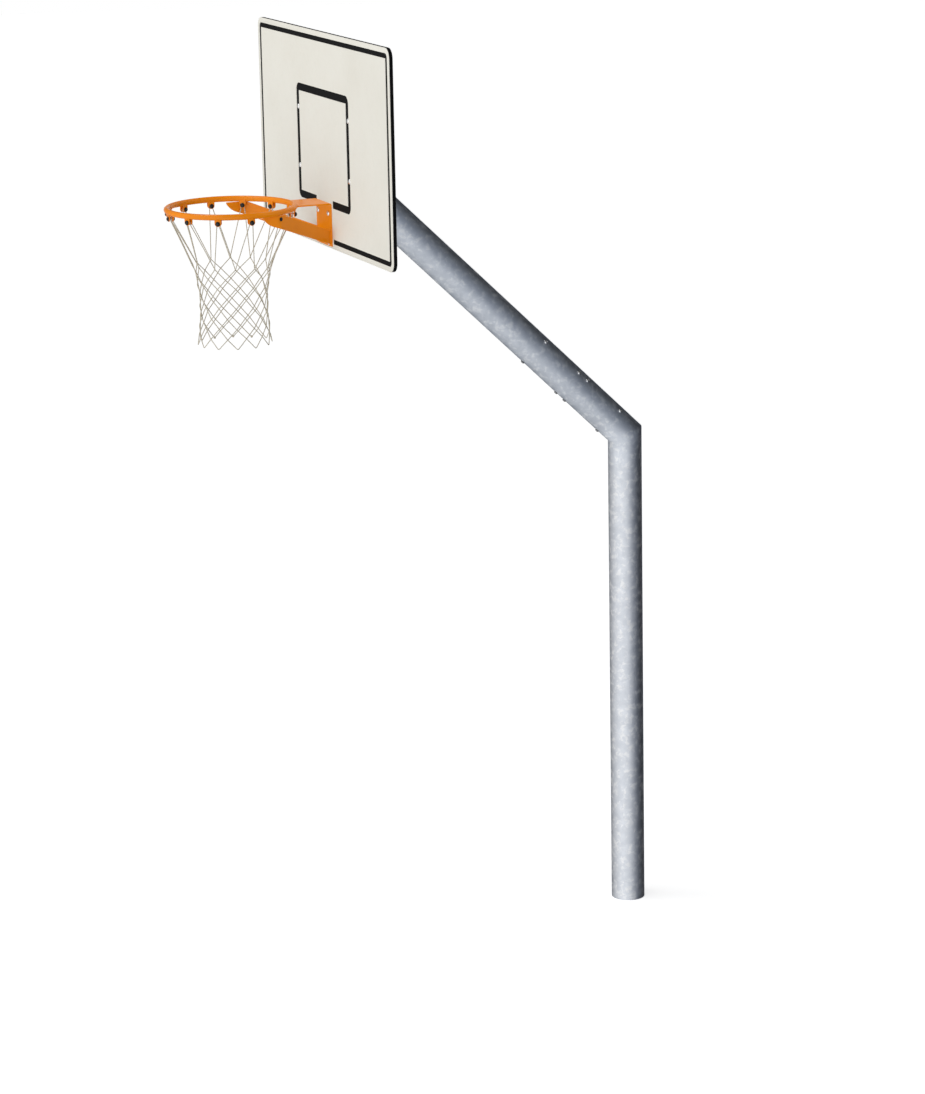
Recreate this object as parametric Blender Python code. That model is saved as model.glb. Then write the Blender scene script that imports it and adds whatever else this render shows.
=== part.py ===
"""Basketball hoop on a cranked in-ground post.

Metres, +Z up.  The origin is on the post's axis at ground level.  The board's
front face looks along -Y, the ring stands out towards -Y, and +X is to the
right of somebody who looks at the board's front.
"""
import bpy
import bmesh
import numpy as np
from math import sin, cos, tan, pi, radians, sqrt, hypot, atan2
from mathutils import Vector, Matrix

# ---------------------------------------------------------------- dimensions
GAP = 0.0003            # clearance between touching pieces

# post and arm
TUBE_R = 0.0665         # 133 mm galvanised tube
TUBE_WALL = 0.0045
BEND_Z = 1.9243         # where the post's axis meets the arm's axis
ARM_DEG = 43.96         # slope of the arm above the horizontal
SPLICE_S = 0.3185       # joint of stub and arm tube, along the arm's axis
SPLICE_NEAR = 0.0245    # bolt stations, each side of the joint
SPLICE_FAR = 0.2175
SLEEVE_HALF = 0.240
SLEEVE_WALL = 0.0050
SPLICE_ANGLES = (40.0, 140.0, 270.0)
TUBE_SEG = 48
SLEEVE_SEG = 36

# board
BOARD_W = 1.400
BOARD_H = 0.800
BOARD_T = 0.0155
BOARD_Y = -1.2286       # front face
BOARD_Z0 = 2.7622
BOARD_R = 0.037
BORDER_IN = 0.0193      # board's edge to the border line
BORDER_W = 0.0184
TARGET_X = 0.2780       # half width of the target, outside
TARGET_Z0 = 2.9155
TARGET_Z1 = 3.3510
TARGET_W = 0.0288
LINE_DEPTH = 0.0024
LINE_BREAK = 0.0855     # half width left plain behind the bracket
BOARD_BOLT_X = 0.2650
BOARD_BOLT_Z = (3.0377, 3.2605)
CBORE_R = 0.0120
CBORE_DEPTH = 0.0042

# ring and bracket
RING_R_IN = 0.2250
RING_TUBE_R = 0.0110
RING_Z = 2.9348
RING_Y = -1.5991
PLATE_X = 0.0770
PLATE_T = 0.0050
PLATE_Z0 = 2.7716
PLATE_Z1 = 2.9345
RING_BOLT_X = 0.0535
RING_BOLT_Z = (2.7855, 2.8950)
BRACE_R = 0.2415        # distance of the brace's middle from the ring's axis
BRACE_T = 0.0050
BRACE_SLOPE = 0.3415
BRACE_ARC_R = 0.070
BRACE_TIP = 0.0675

# net lugs
LUG_COUNT = 12
LUG_W = 0.0240
LUG_T = 0.0030
LUG_IN = 0.2240         # inner face of the inner tab, from the ring's axis
LUG_OUT = 0.2420        # outer face of the outer tab
LUG_AXIS = 0.0235       # bolt's axis below the ring's middle
LUG_TOP_IN = -0.0040    # tops of the tabs, inside the ring's tube
LUG_TOP_OUT = -0.0085
BRACE_LUGS = (1, 5)     # at these two the brace is the outer tab
LUG_CAP_R = 0.0088
LUG_CAP_H = 0.0068
LUG_END_R = 0.0074      # the lower cap on the outside of a brace
LUG_END_H = 0.0046
LUG_BOLT_R = 0.0040
SPLICE_HEAD_R = 0.0078
SPLICE_HEAD_H = 0.0056

# structure behind the board
HEAD_X = 0.1000
HEAD_Z0 = 2.7650
HEAD_Z1 = 3.3200
HEAD_T = 0.0080
HEAD_DEPTH = 0.0700
WING_X = 0.3100
WING_H = 0.0600
WING_T = 0.0080
WING_LEG = 0.0450

# net
NET_PROFILE = ((-0.0600, 0.2200), (-0.1000, 0.1990), (-0.2000, 0.1520),
               (-0.3000, 0.1290), (-0.4000, 0.1270), (-0.4700, 0.1335), (-0.5090, 0.1400))
NET_WALL = 0.0060

RING_RC = RING_R_IN + RING_TUBE_R
ARM = Vector((0.0, -cos(radians(ARM_DEG)), sin(radians(ARM_DEG))))
ARM_UP = Vector((0.0, sin(radians(ARM_DEG)), cos(radians(ARM_DEG))))
XDIR = Vector((1.0, 0.0, 0.0))
BEND = Vector((0.0, 0.0, BEND_Z))
BOARD_BACK = BOARD_Y + BOARD_T

# ---------------------------------------------------------------- materials
MATERIALS = {}


def material(name, colour, rough, metal):
    if name not in MATERIALS:
        m = bpy.data.materials.new(name)
        m.use_nodes = True
        b = m.node_tree.nodes["Principled BSDF"]
        b.inputs["Base Color"].default_value = (*colour, 1.0)
        b.inputs["Roughness"].default_value = rough
        b.inputs["Metallic"].default_value = metal
        m.diffuse_color = (*colour, 1.0)
        MATERIALS[name] = m
    return MATERIALS[name]


GALV = ("galvanised", (0.52, 0.54, 0.57), 0.42, 0.85)
STEEL_ORANGE = ("orange_coat", (0.74, 0.20, 0.01), 0.32, 0.0)
BOARD_MAT = ("board_plastic", (0.76, 0.74, 0.66), 0.55, 0.0)
STAINLESS = ("stainless", (0.66, 0.66, 0.65), 0.25, 1.0)
BLACK = ("black_cap", (0.015, 0.015, 0.017), 0.35, 0.0)
CORD = ("net_cord", (0.62, 0.58, 0.48), 0.85, 0.0)


# ---------------------------------------------------------------- helpers
def clear_scene():
    for ob in list(bpy.data.objects):
        bpy.data.objects.remove(ob, do_unlink=True)


def finish(bm, name, mat, smooth=35.0):
    bmesh.ops.recalc_face_normals(bm, faces=bm.faces[:])
    me = bpy.data.meshes.new(name)
    bm.to_mesh(me)
    bm.free()
    ob = bpy.data.objects.new(name, me)
    bpy.context.scene.collection.objects.link(ob)
    me.materials.append(material(*mat))
    if smooth:
        me.shade_smooth()
        me.set_sharp_from_angle(angle=radians(smooth))
    return ob


def cutter(bm, name):
    ob = finish(bm, name, BLACK, 0)
    ob.hide_render = True
    ob.display_type = 'WIRE'
    return ob


def cut(ob, tool):
    m = ob.modifiers.new("cut_" + tool.name, 'BOOLEAN')
    m.operation = 'DIFFERENCE'
    m.solver = 'EXACT'
    m.object = tool
    return m


def join(ob, tool):
    m = ob.modifiers.new("join_" + tool.name, 'BOOLEAN')
    m.operation = 'UNION'
    m.solver = 'EXACT'
    m.object = tool
    return m


def loop_of(bm, pts):
    return [bm.verts.new(p) for p in pts]


def skin(bm, loops, closed_ring=True, cap_start=True, cap_end=True, wrap=False):
    """Quads between successive loops of vertices; flat caps at the ends."""
    n = len(loops[0])
    rng = range(len(loops)) if wrap else range(len(loops) - 1)
    for i in rng:
        a, b = loops[i], loops[(i + 1) % len(loops)]
        for j in range(n if closed_ring else n - 1):
            k = (j + 1) % n
            bm.faces.new((a[j], a[k], b[k], b[j]))
    if not wrap and cap_start:
        bm.faces.new(list(reversed(loops[0])))
    if not wrap and cap_end:
        bm.faces.new(loops[-1])


def frame_for(axis):
    a = Vector(axis).normalized()
    ref = Vector((0, 0, 1)) if abs(a.z) < 0.9 else Vector((1, 0, 0))
    u = a.cross(ref).normalized()
    return a, u, a.cross(u).normalized()


def turned(bm, base, axis, profile, seg):
    """A solid of revolution.  profile holds (distance along the axis, radius);
    a radius of zero closes the end in a point."""
    a, u, v = frame_for(axis)
    base = Vector(base)
    loops = []
    for d, r in profile:
        if r <= 0.0:
            loops.append([bm.verts.new(base + a * d)])
        else:
            loops.append(loop_of(bm, [base + a * d + (u * cos(t) + v * sin(t)) * r
                                      for t in [2 * pi * i / seg for i in range(seg)]]))
    for p, q in zip(loops, loops[1:]):
        if len(p) == 1 and len(q) == 1:
            continue
        for j in range(seg):
            k = (j + 1) % seg
            if len(p) == 1:
                bm.faces.new((p[0], q[k], q[j]))
            elif len(q) == 1:
                bm.faces.new((p[j], p[k], q[0]))
            else:
                bm.faces.new((p[j], p[k], q[k], q[j]))
    if len(loops[0]) > 1:
        bm.faces.new(list(reversed(loops[0])))
    if len(loops[-1]) > 1:
        bm.faces.new(loops[-1])


def ring_solid(bm, base, axis, profile, seg):
    """A turned ring: profile is a closed loop of (distance, radius), no zero radius."""
    a, u, v = frame_for(axis)
    base = Vector(base)
    loops = []
    for i in range(seg):
        t = 2 * pi * i / seg
        e = u * cos(t) + v * sin(t)
        loops.append(loop_of(bm, [base + a * d + e * r for d, r in profile]))
    skin(bm, loops, wrap=True)


def prism(bm, outline, origin, ex, ey, ez, depth):
    """Extrude a flat outline (x, y pairs along ex, ey) by depth along ez."""
    o, ex, ey, ez = Vector(origin), Vector(ex), Vector(ey), Vector(ez)
    low = loop_of(bm, [o + ex * p[0] + ey * p[1] for p in outline])
    high = loop_of(bm, [o + ex * p[0] + ey * p[1] + ez * depth for p in outline])
    skin(bm, [low, high])


def hexagon(r_flat, turn=0.0):
    rc = r_flat / cos(pi / 6)
    return [(rc * cos(pi / 3 * i + turn), rc * sin(pi / 3 * i + turn)) for i in range(6)]


def arc(cx, cy, r, a0, a1, n):
    return [(cx + r * cos(radians(a0 + (a1 - a0) * i / n)),
             cy + r * sin(radians(a0 + (a1 - a0) * i / n))) for i in range(n + 1)]


def rounded_rect(x0, y0, x1, y1, r, n=6):
    return (arc(x1 - r, y0 + r, r, -90, 0, n) + arc(x1 - r, y1 - r, r, 0, 90, n)
            + arc(x0 + r, y1 - r, r, 90, 180, n) + arc(x0 + r, y0 + r, r, 180, 270, n))


def cut_tube(bm, origin, direction, r_out, r_in, plane0, plane1, seg):
    """A tube along an axis, its two ends cut by planes (point, normal)."""
    d, u, v = frame_for(direction)
    o = Vector(origin)
    rows = []
    for pl in (plane0, plane1):
        p, n = Vector(pl[0]), Vector(pl[1])
        for r in (r_out, r_in):
            pts = []
            for i in range(seg):
                t = 2 * pi * i / seg
                q = o + (u * cos(t) + v * sin(t)) * r
                pts.append(q + d * ((p - q).dot(n) / d.dot(n)))
            rows.append(pts)
    o0, i0, o1, i1 = [loop_of(bm, r) for r in rows]
    skin(bm, [i0, o0, o1, i1], cap_start=False, cap_end=False, wrap=True)


def dome_profile(r, h, rim, n=2):
    """Outline of a button head from its rim up to its pole."""
    pts = [(0.0, r), (rim, r)]
    for i in range(1, n + 1):
        t = pi / 2 * i / n
        pts.append((rim + (h - rim) * sin(t), r * cos(t) if i < n else 0.0))
    return pts


def button_bolt(bm, seat, out, head_r, head_h, shank_r, length, seg=12):
    """A dome head that sits on seat and looks along out, shank behind it."""
    prof = [(-length, 0.0), (-length, shank_r * 0.8), (-length + shank_r * 0.25, shank_r),
            (GAP, shank_r), (GAP, head_r)]
    prof += [(GAP + d, r) for d, r in dome_profile(head_r, head_h, head_h * 0.25)[1:]]
    turned(bm, seat, out, prof, seg)


def hex_radius(t, r_flat):
    return r_flat / cos(t % (pi / 3) - pi / 6)


def flange_nut(bm, base, axis, r_flat, r_hole, r_flange, seg=12):
    """A flanged hexagon nut with a through hole, standing on base."""
    a, u, v = frame_for(axis)
    base = Vector(base)
    height = r_flat * 1.15
    rows = [(0.0, 'hole'), (0.0, 'flange'), (0.0014, 'flange'), (0.0022, 'hex'),
            (height, 'hex'), (height, 'hole')]
    loops = []
    for d, kind in rows:
        pts = []
        for i in range(seg):
            t = 2 * pi * i / seg
            r = {'hole': r_hole, 'flange': r_flange, 'hex': hex_radius(t, r_flat)}[kind]
            pts.append(base + a * d + (u * cos(t) + v * sin(t)) * r)
        loops.append(loop_of(bm, pts))
    skin(bm, loops, wrap=True)


# ---------------------------------------------------------------- post and arm
def arm_radial(deg):
    """Unit vector square to the arm: 0 is +X, 90 is the upper side."""
    t = radians(deg)
    return XDIR * cos(t) + ARM_UP * sin(t)


STATIONS = [SPLICE_S - SPLICE_FAR, SPLICE_S - SPLICE_NEAR,
            SPLICE_S + SPLICE_NEAR, SPLICE_S + SPLICE_FAR]


def splice_cutter(name, stations, r):
    bm = bmesh.new()
    for s in stations:
        for deg in SPLICE_ANGLES:
            e = arm_radial(deg)
            turned(bm, BEND + ARM * s + e * 0.045, e,
                   [(0.0, r), (0.035, r)], 10)
    return cutter(bm, name)


def build_post():
    r_in = TUBE_R - TUBE_WALL
    mitre = (Vector((0, 0, 1)) + ARM).normalized()
    lower = (BEND - mitre * GAP / 2, mitre)
    upper = (BEND + mitre * GAP / 2, mitre)

    bm = bmesh.new()
    cut_tube(bm, (0, 0, 0), (0, 0, 1), TUBE_R, r_in,
             ((0, 0, 0), (0, 0, 1)), lower, TUBE_SEG)
    finish(bm, "post", GALV)

    bm = bmesh.new()
    cut_tube(bm, BEND, ARM, TUBE_R, r_in, upper,
             (BEND + ARM * (SPLICE_S - GAP / 2), ARM), TUBE_SEG)
    stub = finish(bm, "elbow_stub", GALV)
    cut(stub, splice_cutter("cut_stub_holes", STATIONS[:2], 0.0046))

    end = Vector((0, BOARD_BACK + GAP + HEAD_T + GAP, 0))
    bm = bmesh.new()
    cut_tube(bm, BEND, ARM, TUBE_R, r_in,
             (BEND + ARM * (SPLICE_S + GAP / 2), ARM), (end, Vector((0, 1, 0))), TUBE_SEG)
    arm = finish(bm, "arm_tube", GALV)
    cut(arm, splice_cutter("cut_arm_holes", STATIONS[2:], 0.0046))

    # sleeve inside the joint, with a nut welded behind each bolt hole
    r_sleeve = r_in - GAP
    bm = bmesh.new()
    cut_tube(bm, BEND, ARM, r_sleeve, r_sleeve - SLEEVE_WALL,
             (BEND + ARM * (SPLICE_S - SLEEVE_HALF), ARM),
             (BEND + ARM * (SPLICE_S + SLEEVE_HALF), ARM), SLEEVE_SEG)
    sleeve = finish(bm, "splice_sleeve", GALV)
    bm = bmesh.new()
    for s in STATIONS:
        for deg in SPLICE_ANGLES:
            e = arm_radial(deg)
            a, u, v = frame_for(e)
            prism(bm, hexagon(0.0068), BEND + ARM * s + e * (r_sleeve - SLEEVE_WALL - 0.0080),
                  u, v, e, 0.0105)
    join(sleeve, cutter(bm, "add_weld_nuts"))
    cut(sleeve, splice_cutter("cut_sleeve_holes", STATIONS, 0.0046))

    k = 0
    for s in STATIONS:
        for deg in SPLICE_ANGLES:
            k += 1
            e = arm_radial(deg)
            bm = bmesh.new()
            button_bolt(bm, BEND + ARM * s + e * TUBE_R, e, SPLICE_HEAD_R, SPLICE_HEAD_H,
                        0.0040, 0.0235, 10)
            finish(bm, "splice_bolt_%02d" % k, STAINLESS)


# ---------------------------------------------------------------- board
def line_outline(x, z0, z1, w, r):
    """An open rectangular line, rounded outside and square inside, with a
    break in its bottom run."""
    b = LINE_BREAK
    n = 5
    out = [(b, z0)]
    out += arc(x - r, z0 + r, r, -90, 0, n)
    out += arc(x - r, z1 - r, r, 0, 90, n)
    out += arc(-x + r, z1 - r, r, 90, 180, n)
    out += arc(-x + r, z0 + r, r, 180, 270, n)
    out += [(-b, z0), (-b, z0 + w), (-x + w, z0 + w), (-x + w, z1 - w),
            (x - w, z1 - w), (x - w, z0 + w), (b, z0 + w)]
    return out


def build_board():
    bm = bmesh.new()
    prism(bm, rounded_rect(-BOARD_W / 2, BOARD_Z0, BOARD_W / 2, BOARD_Z0 + BOARD_H, BOARD_R, 8),
          (0, BOARD_Y, 0), (1, 0, 0), (0, 0, 1), (0, 1, 0), BOARD_T)
    board = finish(bm, "backboard", BOARD_MAT, 30)

    x = BOARD_W / 2 - BORDER_IN
    bm = bmesh.new()
    prism(bm, line_outline(x, BOARD_Z0 + BORDER_IN, BOARD_Z0 + BOARD_H - BORDER_IN, BORDER_W, BORDER_W),
          (0, BOARD_Y - 0.004, 0), (1, 0, 0), (0, 0, 1), (0, 1, 0), 0.004 + LINE_DEPTH)
    cut(board, cutter(bm, "cut_border_line"))

    bm = bmesh.new()
    prism(bm, line_outline(TARGET_X, TARGET_Z0, TARGET_Z1, TARGET_W, TARGET_W),
          (0, BOARD_Y - 0.004, 0), (1, 0, 0), (0, 0, 1), (0, 1, 0), 0.004 + LINE_DEPTH)
    cut(board, cutter(bm, "cut_target_line"))

    bm = bmesh.new()
    for sx in (-1, 1):
        for z in BOARD_BOLT_Z:
            p = Vector((sx * BOARD_BOLT_X, BOARD_Y, z))
            turned(bm, p, (0, 1, 0), [(-0.004, CBORE_R), (CBORE_DEPTH, CBORE_R),
                                      (CBORE_DEPTH, 0.0055), (BOARD_T + 0.004, 0.0055)], 20)
    cut(board, cutter(bm, "cut_board_bolt_holes"))

    bm = bmesh.new()
    for sx in (-1, 1):
        for z in RING_BOLT_Z:
            turned(bm, (sx * RING_BOLT_X, BOARD_Y, z), (0, 1, 0),
                   [(-0.004, 0.0055), (BOARD_T + 0.004, 0.0055)], 16)
    cut(board, cutter(bm, "cut_ring_bolt_holes"))


# ---------------------------------------------------------------- behind the board
def build_head():
    y0 = BOARD_BACK + GAP
    # folded channel: web against the board, flanges to the rear, rounded bends
    t, ro = HEAD_T, 0.012
    ri = ro - t
    outer = [(-HEAD_X, HEAD_DEPTH)] + arc(-HEAD_X + ro, ro, ro, 180, 270, 4) \
        + arc(HEAD_X - ro, ro, ro, 270, 360, 4) + [(HEAD_X, HEAD_DEPTH)]
    inner = [(HEAD_X - t, HEAD_DEPTH)] + arc(HEAD_X - ro, ro, ri, 360, 270, 4) \
        + arc(-HEAD_X + ro, ro, ri, 270, 180, 4) + [(-HEAD_X + t, HEAD_DEPTH)]
    bm = bmesh.new()
    prism(bm, outer + inner, (0, y0, HEAD_Z0), (1, 0, 0), (0, 1, 0), (0, 0, 1), HEAD_Z1 - HEAD_Z0)
    head = finish(bm, "head_channel", GALV, 30)
    bm = bmesh.new()
    for sx in (-1, 1):
        for z in RING_BOLT_Z:
            turned(bm, (sx * RING_BOLT_X, y0 - 0.004, z), (0, 1, 0),
                   [(0.0, 0.0055), (HEAD_T + 0.008, 0.0055)], 16)
    cut(head, cutter(bm, "cut_head_holes"))

    # closing ribs above and below the arm's end
    web = y0 + HEAD_T + GAP
    half = HEAD_X - HEAD_T - GAP
    for name, z in (("head_rib_upper", 3.2300), ("head_rib_lower", 2.9300)):
        bm = bmesh.new()
        c = 0.012
        prism(bm, [(-half + c, 0.0), (half - c, 0.0), (half, c), (half, 0.0560),
                   (-half, 0.0560), (-half, c)],
              (0, web, z), (1, 0, 0), (0, 1, 0), (0, 0, 1), 0.006)
        finish(bm, name, GALV, 30)

    # wings: angle sections from the channel out to the board bolts
    for label, z in (("upper", BOARD_BOLT_Z[1]), ("lower", BOARD_BOLT_Z[0])):
        for side, sx in (("left", -1), ("right", 1)):
            x0, x1 = HEAD_X + GAP, WING_X
            t = WING_T
            section = [(0.0, -WING_H / 2), (t, -WING_H / 2), (t, WING_H / 2 - t),
                       (WING_LEG, WING_H / 2 - t), (WING_LEG, WING_H / 2), (0.0, WING_H / 2)]
            bm = bmesh.new()
            prism(bm, section, (sx * x0, y0, z), (0, 1, 0), (0, 0, 1), (sx, 0, 0), x1 - x0)
            wing = finish(bm, "wing_%s_%s" % (label, side), GALV, 30)
            bm = bmesh.new()
            turned(bm, (sx * BOARD_BOLT_X, y0 - 0.004, z), (0, 1, 0),
                   [(0.0, 0.0055), (t + 0.008, 0.0055)], 16)
            cut(wing, cutter(bm, "cut_wing_%s_%s" % (label, side)))

    # bolts through the board, each with its flanged nut behind
    rear = y0 + WING_T + GAP
    front = BOARD_Y - GAP - PLATE_T
    for sx, side in ((-1, "left"), (1, "right")):
        for lz, level in ((0, "lower"), (1, "upper")):
            for kind, x, z, seat, length in (
                    ("board", BOARD_BOLT_X, BOARD_BOLT_Z[lz], BOARD_Y + CBORE_DEPTH, 0.0345),
                    ("ring", RING_BOLT_X, RING_BOLT_Z[lz], front, 0.0415)):
                bm = bmesh.new()
                button_bolt(bm, (sx * x, seat, z), (0, -1, 0), 0.0099, 0.0056, 0.0050, length, 12)
                finish(bm, "%s_bolt_%s_%s" % (kind, level, side), STAINLESS)
                bm = bmesh.new()
                flange_nut(bm, (sx * x, rear, z), (0, 1, 0), 0.0080, 0.0053, 0.0105)
                finish(bm, "%s_nut_%s_%s" % (kind, level, side), STAINLESS)


# ---------------------------------------------------------------- ring
def build_ring():
    seg, sides = 72, 10
    bm = bmesh.new()
    ring_solid(bm, (0, RING_Y, RING_Z), (0, 0, 1),
               [(RING_TUBE_R * sin(2 * pi * i / sides), RING_RC + RING_TUBE_R * cos(2 * pi * i / sides))
                for i in range(sides)], seg)
    rim = finish(bm, "rim_ring", STEEL_ORANGE, 60)
    bm = bmesh.new()
    for i in range(LUG_COUNT):
        deg = 360.0 / LUG_COUNT * i
        lug_tab(bm, deg, LUG_IN, LUG_IN + LUG_T, LUG_TOP_IN)
        if i not in BRACE_LUGS:
            lug_tab(bm, deg, LUG_OUT - LUG_T, LUG_OUT, LUG_TOP_OUT)
    join(rim, cutter(bm, "add_lugs"))

    # folded bracket plate: upright leg, bend, flat leg with a hollowed front
    back = BOARD_Y - GAP
    t, ro = PLATE_T, 0.0085
    ri = ro - t
    section = [(0.0, PLATE_Z0), (0.0, PLATE_Z1 - ro)]
    section += [(ro - ro * cos(radians(a)), PLATE_Z1 - ro + ro * sin(radians(a))) for a in (22.5, 45, 67.5)]
    section += [(ro, PLATE_Z1)]
    under = [(ro, PLATE_Z1 - t)]
    under += [(ro - ri * cos(radians(a)), PLATE_Z1 - ro + ri * sin(radians(a))) for a in (67.5, 45, 22.5)]
    under += [(t, PLATE_Z1 - ro), (t, PLATE_Z0)]
    front = 0.165
    outline = section + [(front, PLATE_Z1), (front, PLATE_Z1 - t)] + under
    bm = bmesh.new()
    prism(bm, outline, (-PLATE_X, back, 0), (0, -1, 0), (0, 0, 1), (1, 0, 0), 2 * PLATE_X)
    plate = finish(bm, "bracket_plate", STEEL_ORANGE, 30)
    bm = bmesh.new()
    r = RING_RC + RING_TUBE_R + GAP
    turned(bm, (0, RING_Y, PLATE_Z1 - t - 0.010), (0, 0, 1), [(0.0, r), (t + 0.020, r)], 192)
    cut(plate, cutter(bm, "cut_plate_front"))
    bm = bmesh.new()
    for sx in (-1, 1):
        for z in RING_BOLT_Z:
            turned(bm, (sx * RING_BOLT_X, back + 0.004, z), (0, -1, 0),
                   [(0.0, 0.0055), (t + 0.008, 0.0055)], 16)
    cut(plate, cutter(bm, "cut_plate_holes"))

    # braces: flat bars, square to the ring's radius at 30 degrees, folded
    # parallel to Y where they run under the tube
    z_top = RING_Z - RING_TUBE_R - GAP
    z_low = RING_Z - 0.0591
    y_end = BOARD_Y - GAP - PLATE_T - GAP
    s_top = (RING_Z - 0.0066 - z_top) / BRACE_SLOPE
    for side, sx in (("left", -1), ("right", 1)):
        n = Vector((cos(radians(30)), sin(radians(30)), 0))
        tv = Vector((-n.y, n.x, 0))
        h = BRACE_T / 2
        # fold: mid line meets at F, faces meet on the fold's bisector
        f_mid = Vector((0, RING_Y, 0)) + n * BRACE_R
        nf = Vector((1, 0, 0))
        bis = (n + nf).normalized()
        off = h / bis.dot(n)

        stations = []                       # (outer xy, inner xy, top, bottom)
        s_end_o = (y_end - RING_Y - n.y * (BRACE_R + h)) / tv.y
        s_end_i = (y_end - RING_Y - n.y * (BRACE_R - h)) / tv.y

        def rear(s_o, s_i):
            o = Vector((0, RING_Y, 0)) + n * (BRACE_R + h) + tv * s_o
            i = Vector((0, RING_Y, 0)) + n * (BRACE_R - h) + tv * s_i
            s = (s_o + s_i) / 2
            top = min(z_top, RING_Z - 0.0066 - BRACE_SLOPE * s)
            return (o, i, top, z_low - BRACE_SLOPE * s)

        stations.append(rear(s_end_o, s_end_i))
        stations.append(rear(s_top, s_top))
        stations.append((f_mid + bis * off, f_mid - bis * off, z_top, z_low))
        # lower edge of the folded front: straight, then an arc up to the tip
        t0 = 0.028
        nn = hypot(1.0, BRACE_SLOPE)
        uc = t0 - BRACE_ARC_R * BRACE_SLOPE / nn
        zc = z_low + BRACE_SLOPE * t0 + BRACE_ARC_R / nn
        a0 = atan2(t0 - uc, zc - (z_low + BRACE_SLOPE * t0))
        a1 = np.arcsin(min(1.0, (BRACE_TIP - uc) / BRACE_ARC_R))
        us = [t0 / 2] + [uc + BRACE_ARC_R * sin(a0 + (a1 - a0) * i / 8) for i in range(9)]
        for u in us:
            if u <= t0:
                zb = z_low + BRACE_SLOPE * u
            else:
                zb = zc - sqrt(max(0.0, BRACE_ARC_R ** 2 - (u - uc) ** 2))
            p = f_mid + Vector((0, -u, 0))
            stations.append((p + nf * h, p - nf * h, z_top, min(zb, z_top - 0.002)))
        loops = []
        bm = bmesh.new()
        for o, i, top, bot in stations:
            loops.append(loop_of(bm, [Vector((sx * o.x, o.y, top)), Vector((sx * o.x, o.y, bot)),
                                      Vector((sx * i.x, i.y, bot)), Vector((sx * i.x, i.y, top))]))
        skin(bm, loops)
        brace = finish(bm, "brace_" + side, STEEL_ORANGE, 20)
        bm = bmesh.new()
        e = Vector((sx * n.x, n.y, 0))
        turned(bm, Vector((0, RING_Y, RING_Z - LUG_AXIS)) + e * (BRACE_R - 0.010), e,
               [(0.0, 0.0045), (0.020, 0.0045)], 12)
        cut(brace, cutter(bm, "cut_brace_" + side))


def lug_tab(bm, deg, r0, r1, top):
    """A flat tab with a round lower end and a bolt hole, square to the radius."""
    e = Vector((cos(radians(deg)), sin(radians(deg)), 0))
    t = Vector((-e.y, e.x, 0))
    w = LUG_W / 2
    drop = -0.0220
    hole = 0.0045
    mid = (top + drop) / 2
    outer = [(0, top), (-w, top), (-w, mid)] + arc(0, drop, w, 180, 360, 8) + [(w, mid), (w, top)]
    # the hole's rim has as many points as the outline, so the two bridge
    ang = [atan2(p[1] + LUG_AXIS, p[0]) for p in outer]
    inner = [(hole * cos(a), -LUG_AXIS + hole * sin(a)) for a in ang]
    o = Vector((0, RING_Y, RING_Z))
    rows = []
    for r in (r0, r1):
        rows.append(([o + e * r + t * p[0] + Vector((0, 0, p[1])) for p in inner],
                     [o + e * r + t * p[0] + Vector((0, 0, p[1])) for p in outer]))
    i0, o0 = loop_of(bm, rows[0][0]), loop_of(bm, rows[0][1])
    i1, o1 = loop_of(bm, rows[1][0]), loop_of(bm, rows[1][1])
    skin(bm, [i0, o0, o1, i1], cap_start=False, cap_end=False, wrap=True)


def build_net_bolts():
    """One bolt through each pair of tabs, with a domed cap on both ends."""
    for i in range(LUG_COUNT):
        t = 2 * pi * i / LUG_COUNT
        on_brace = i in BRACE_LUGS
        r_out = BRACE_R + BRACE_T / 2 if on_brace else LUG_OUT
        e = Vector((cos(t), sin(t), 0))
        dome = dome_profile(LUG_CAP_R, LUG_CAP_H, 0.0014)
        end = dome_profile(LUG_END_R, LUG_END_H, 0.0012) if on_brace else dome
        lo, hi = LUG_IN - GAP, r_out + GAP
        prof = [(lo - d, r) for d, r in reversed(dome)] + [(lo, LUG_BOLT_R), (hi, LUG_BOLT_R)]
        prof += [(hi + d, r) for d, r in end]
        bm = bmesh.new()
        turned(bm, (0, RING_Y, RING_Z - LUG_AXIS), e, prof, 10)
        finish(bm, "net_bolt_%02d" % (i + 1), BLACK, 50)


def build_net():
    prof = [(z, r + NET_WALL / 2) for z, r in NET_PROFILE]
    prof += [(z, r - NET_WALL / 2) for z, r in reversed(NET_PROFILE)]
    bm = bmesh.new()
    ring_solid(bm, (0, RING_Y, RING_Z), (0, 0, 1), prof, 24)
    finish(bm, "net", CORD)


def main():
    clear_scene()
    build_post()
    build_board()
    build_head()
    build_ring()
    build_net_bolts()
    build_net()


main()
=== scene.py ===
"""Basketball hoop on a cranked post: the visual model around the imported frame.

Metres, +Z up, the origin on the post's axis at ground level.  The board looks
along -Y.  Every piece replaces the solid of the same name, at the same place
and size, with finer geometry and a procedural finish.
"""
import bpy
import bmesh
import random
from math import sin, cos, tan, pi, radians, sqrt, hypot, atan2, asin
from mathutils import Vector, Matrix


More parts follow.
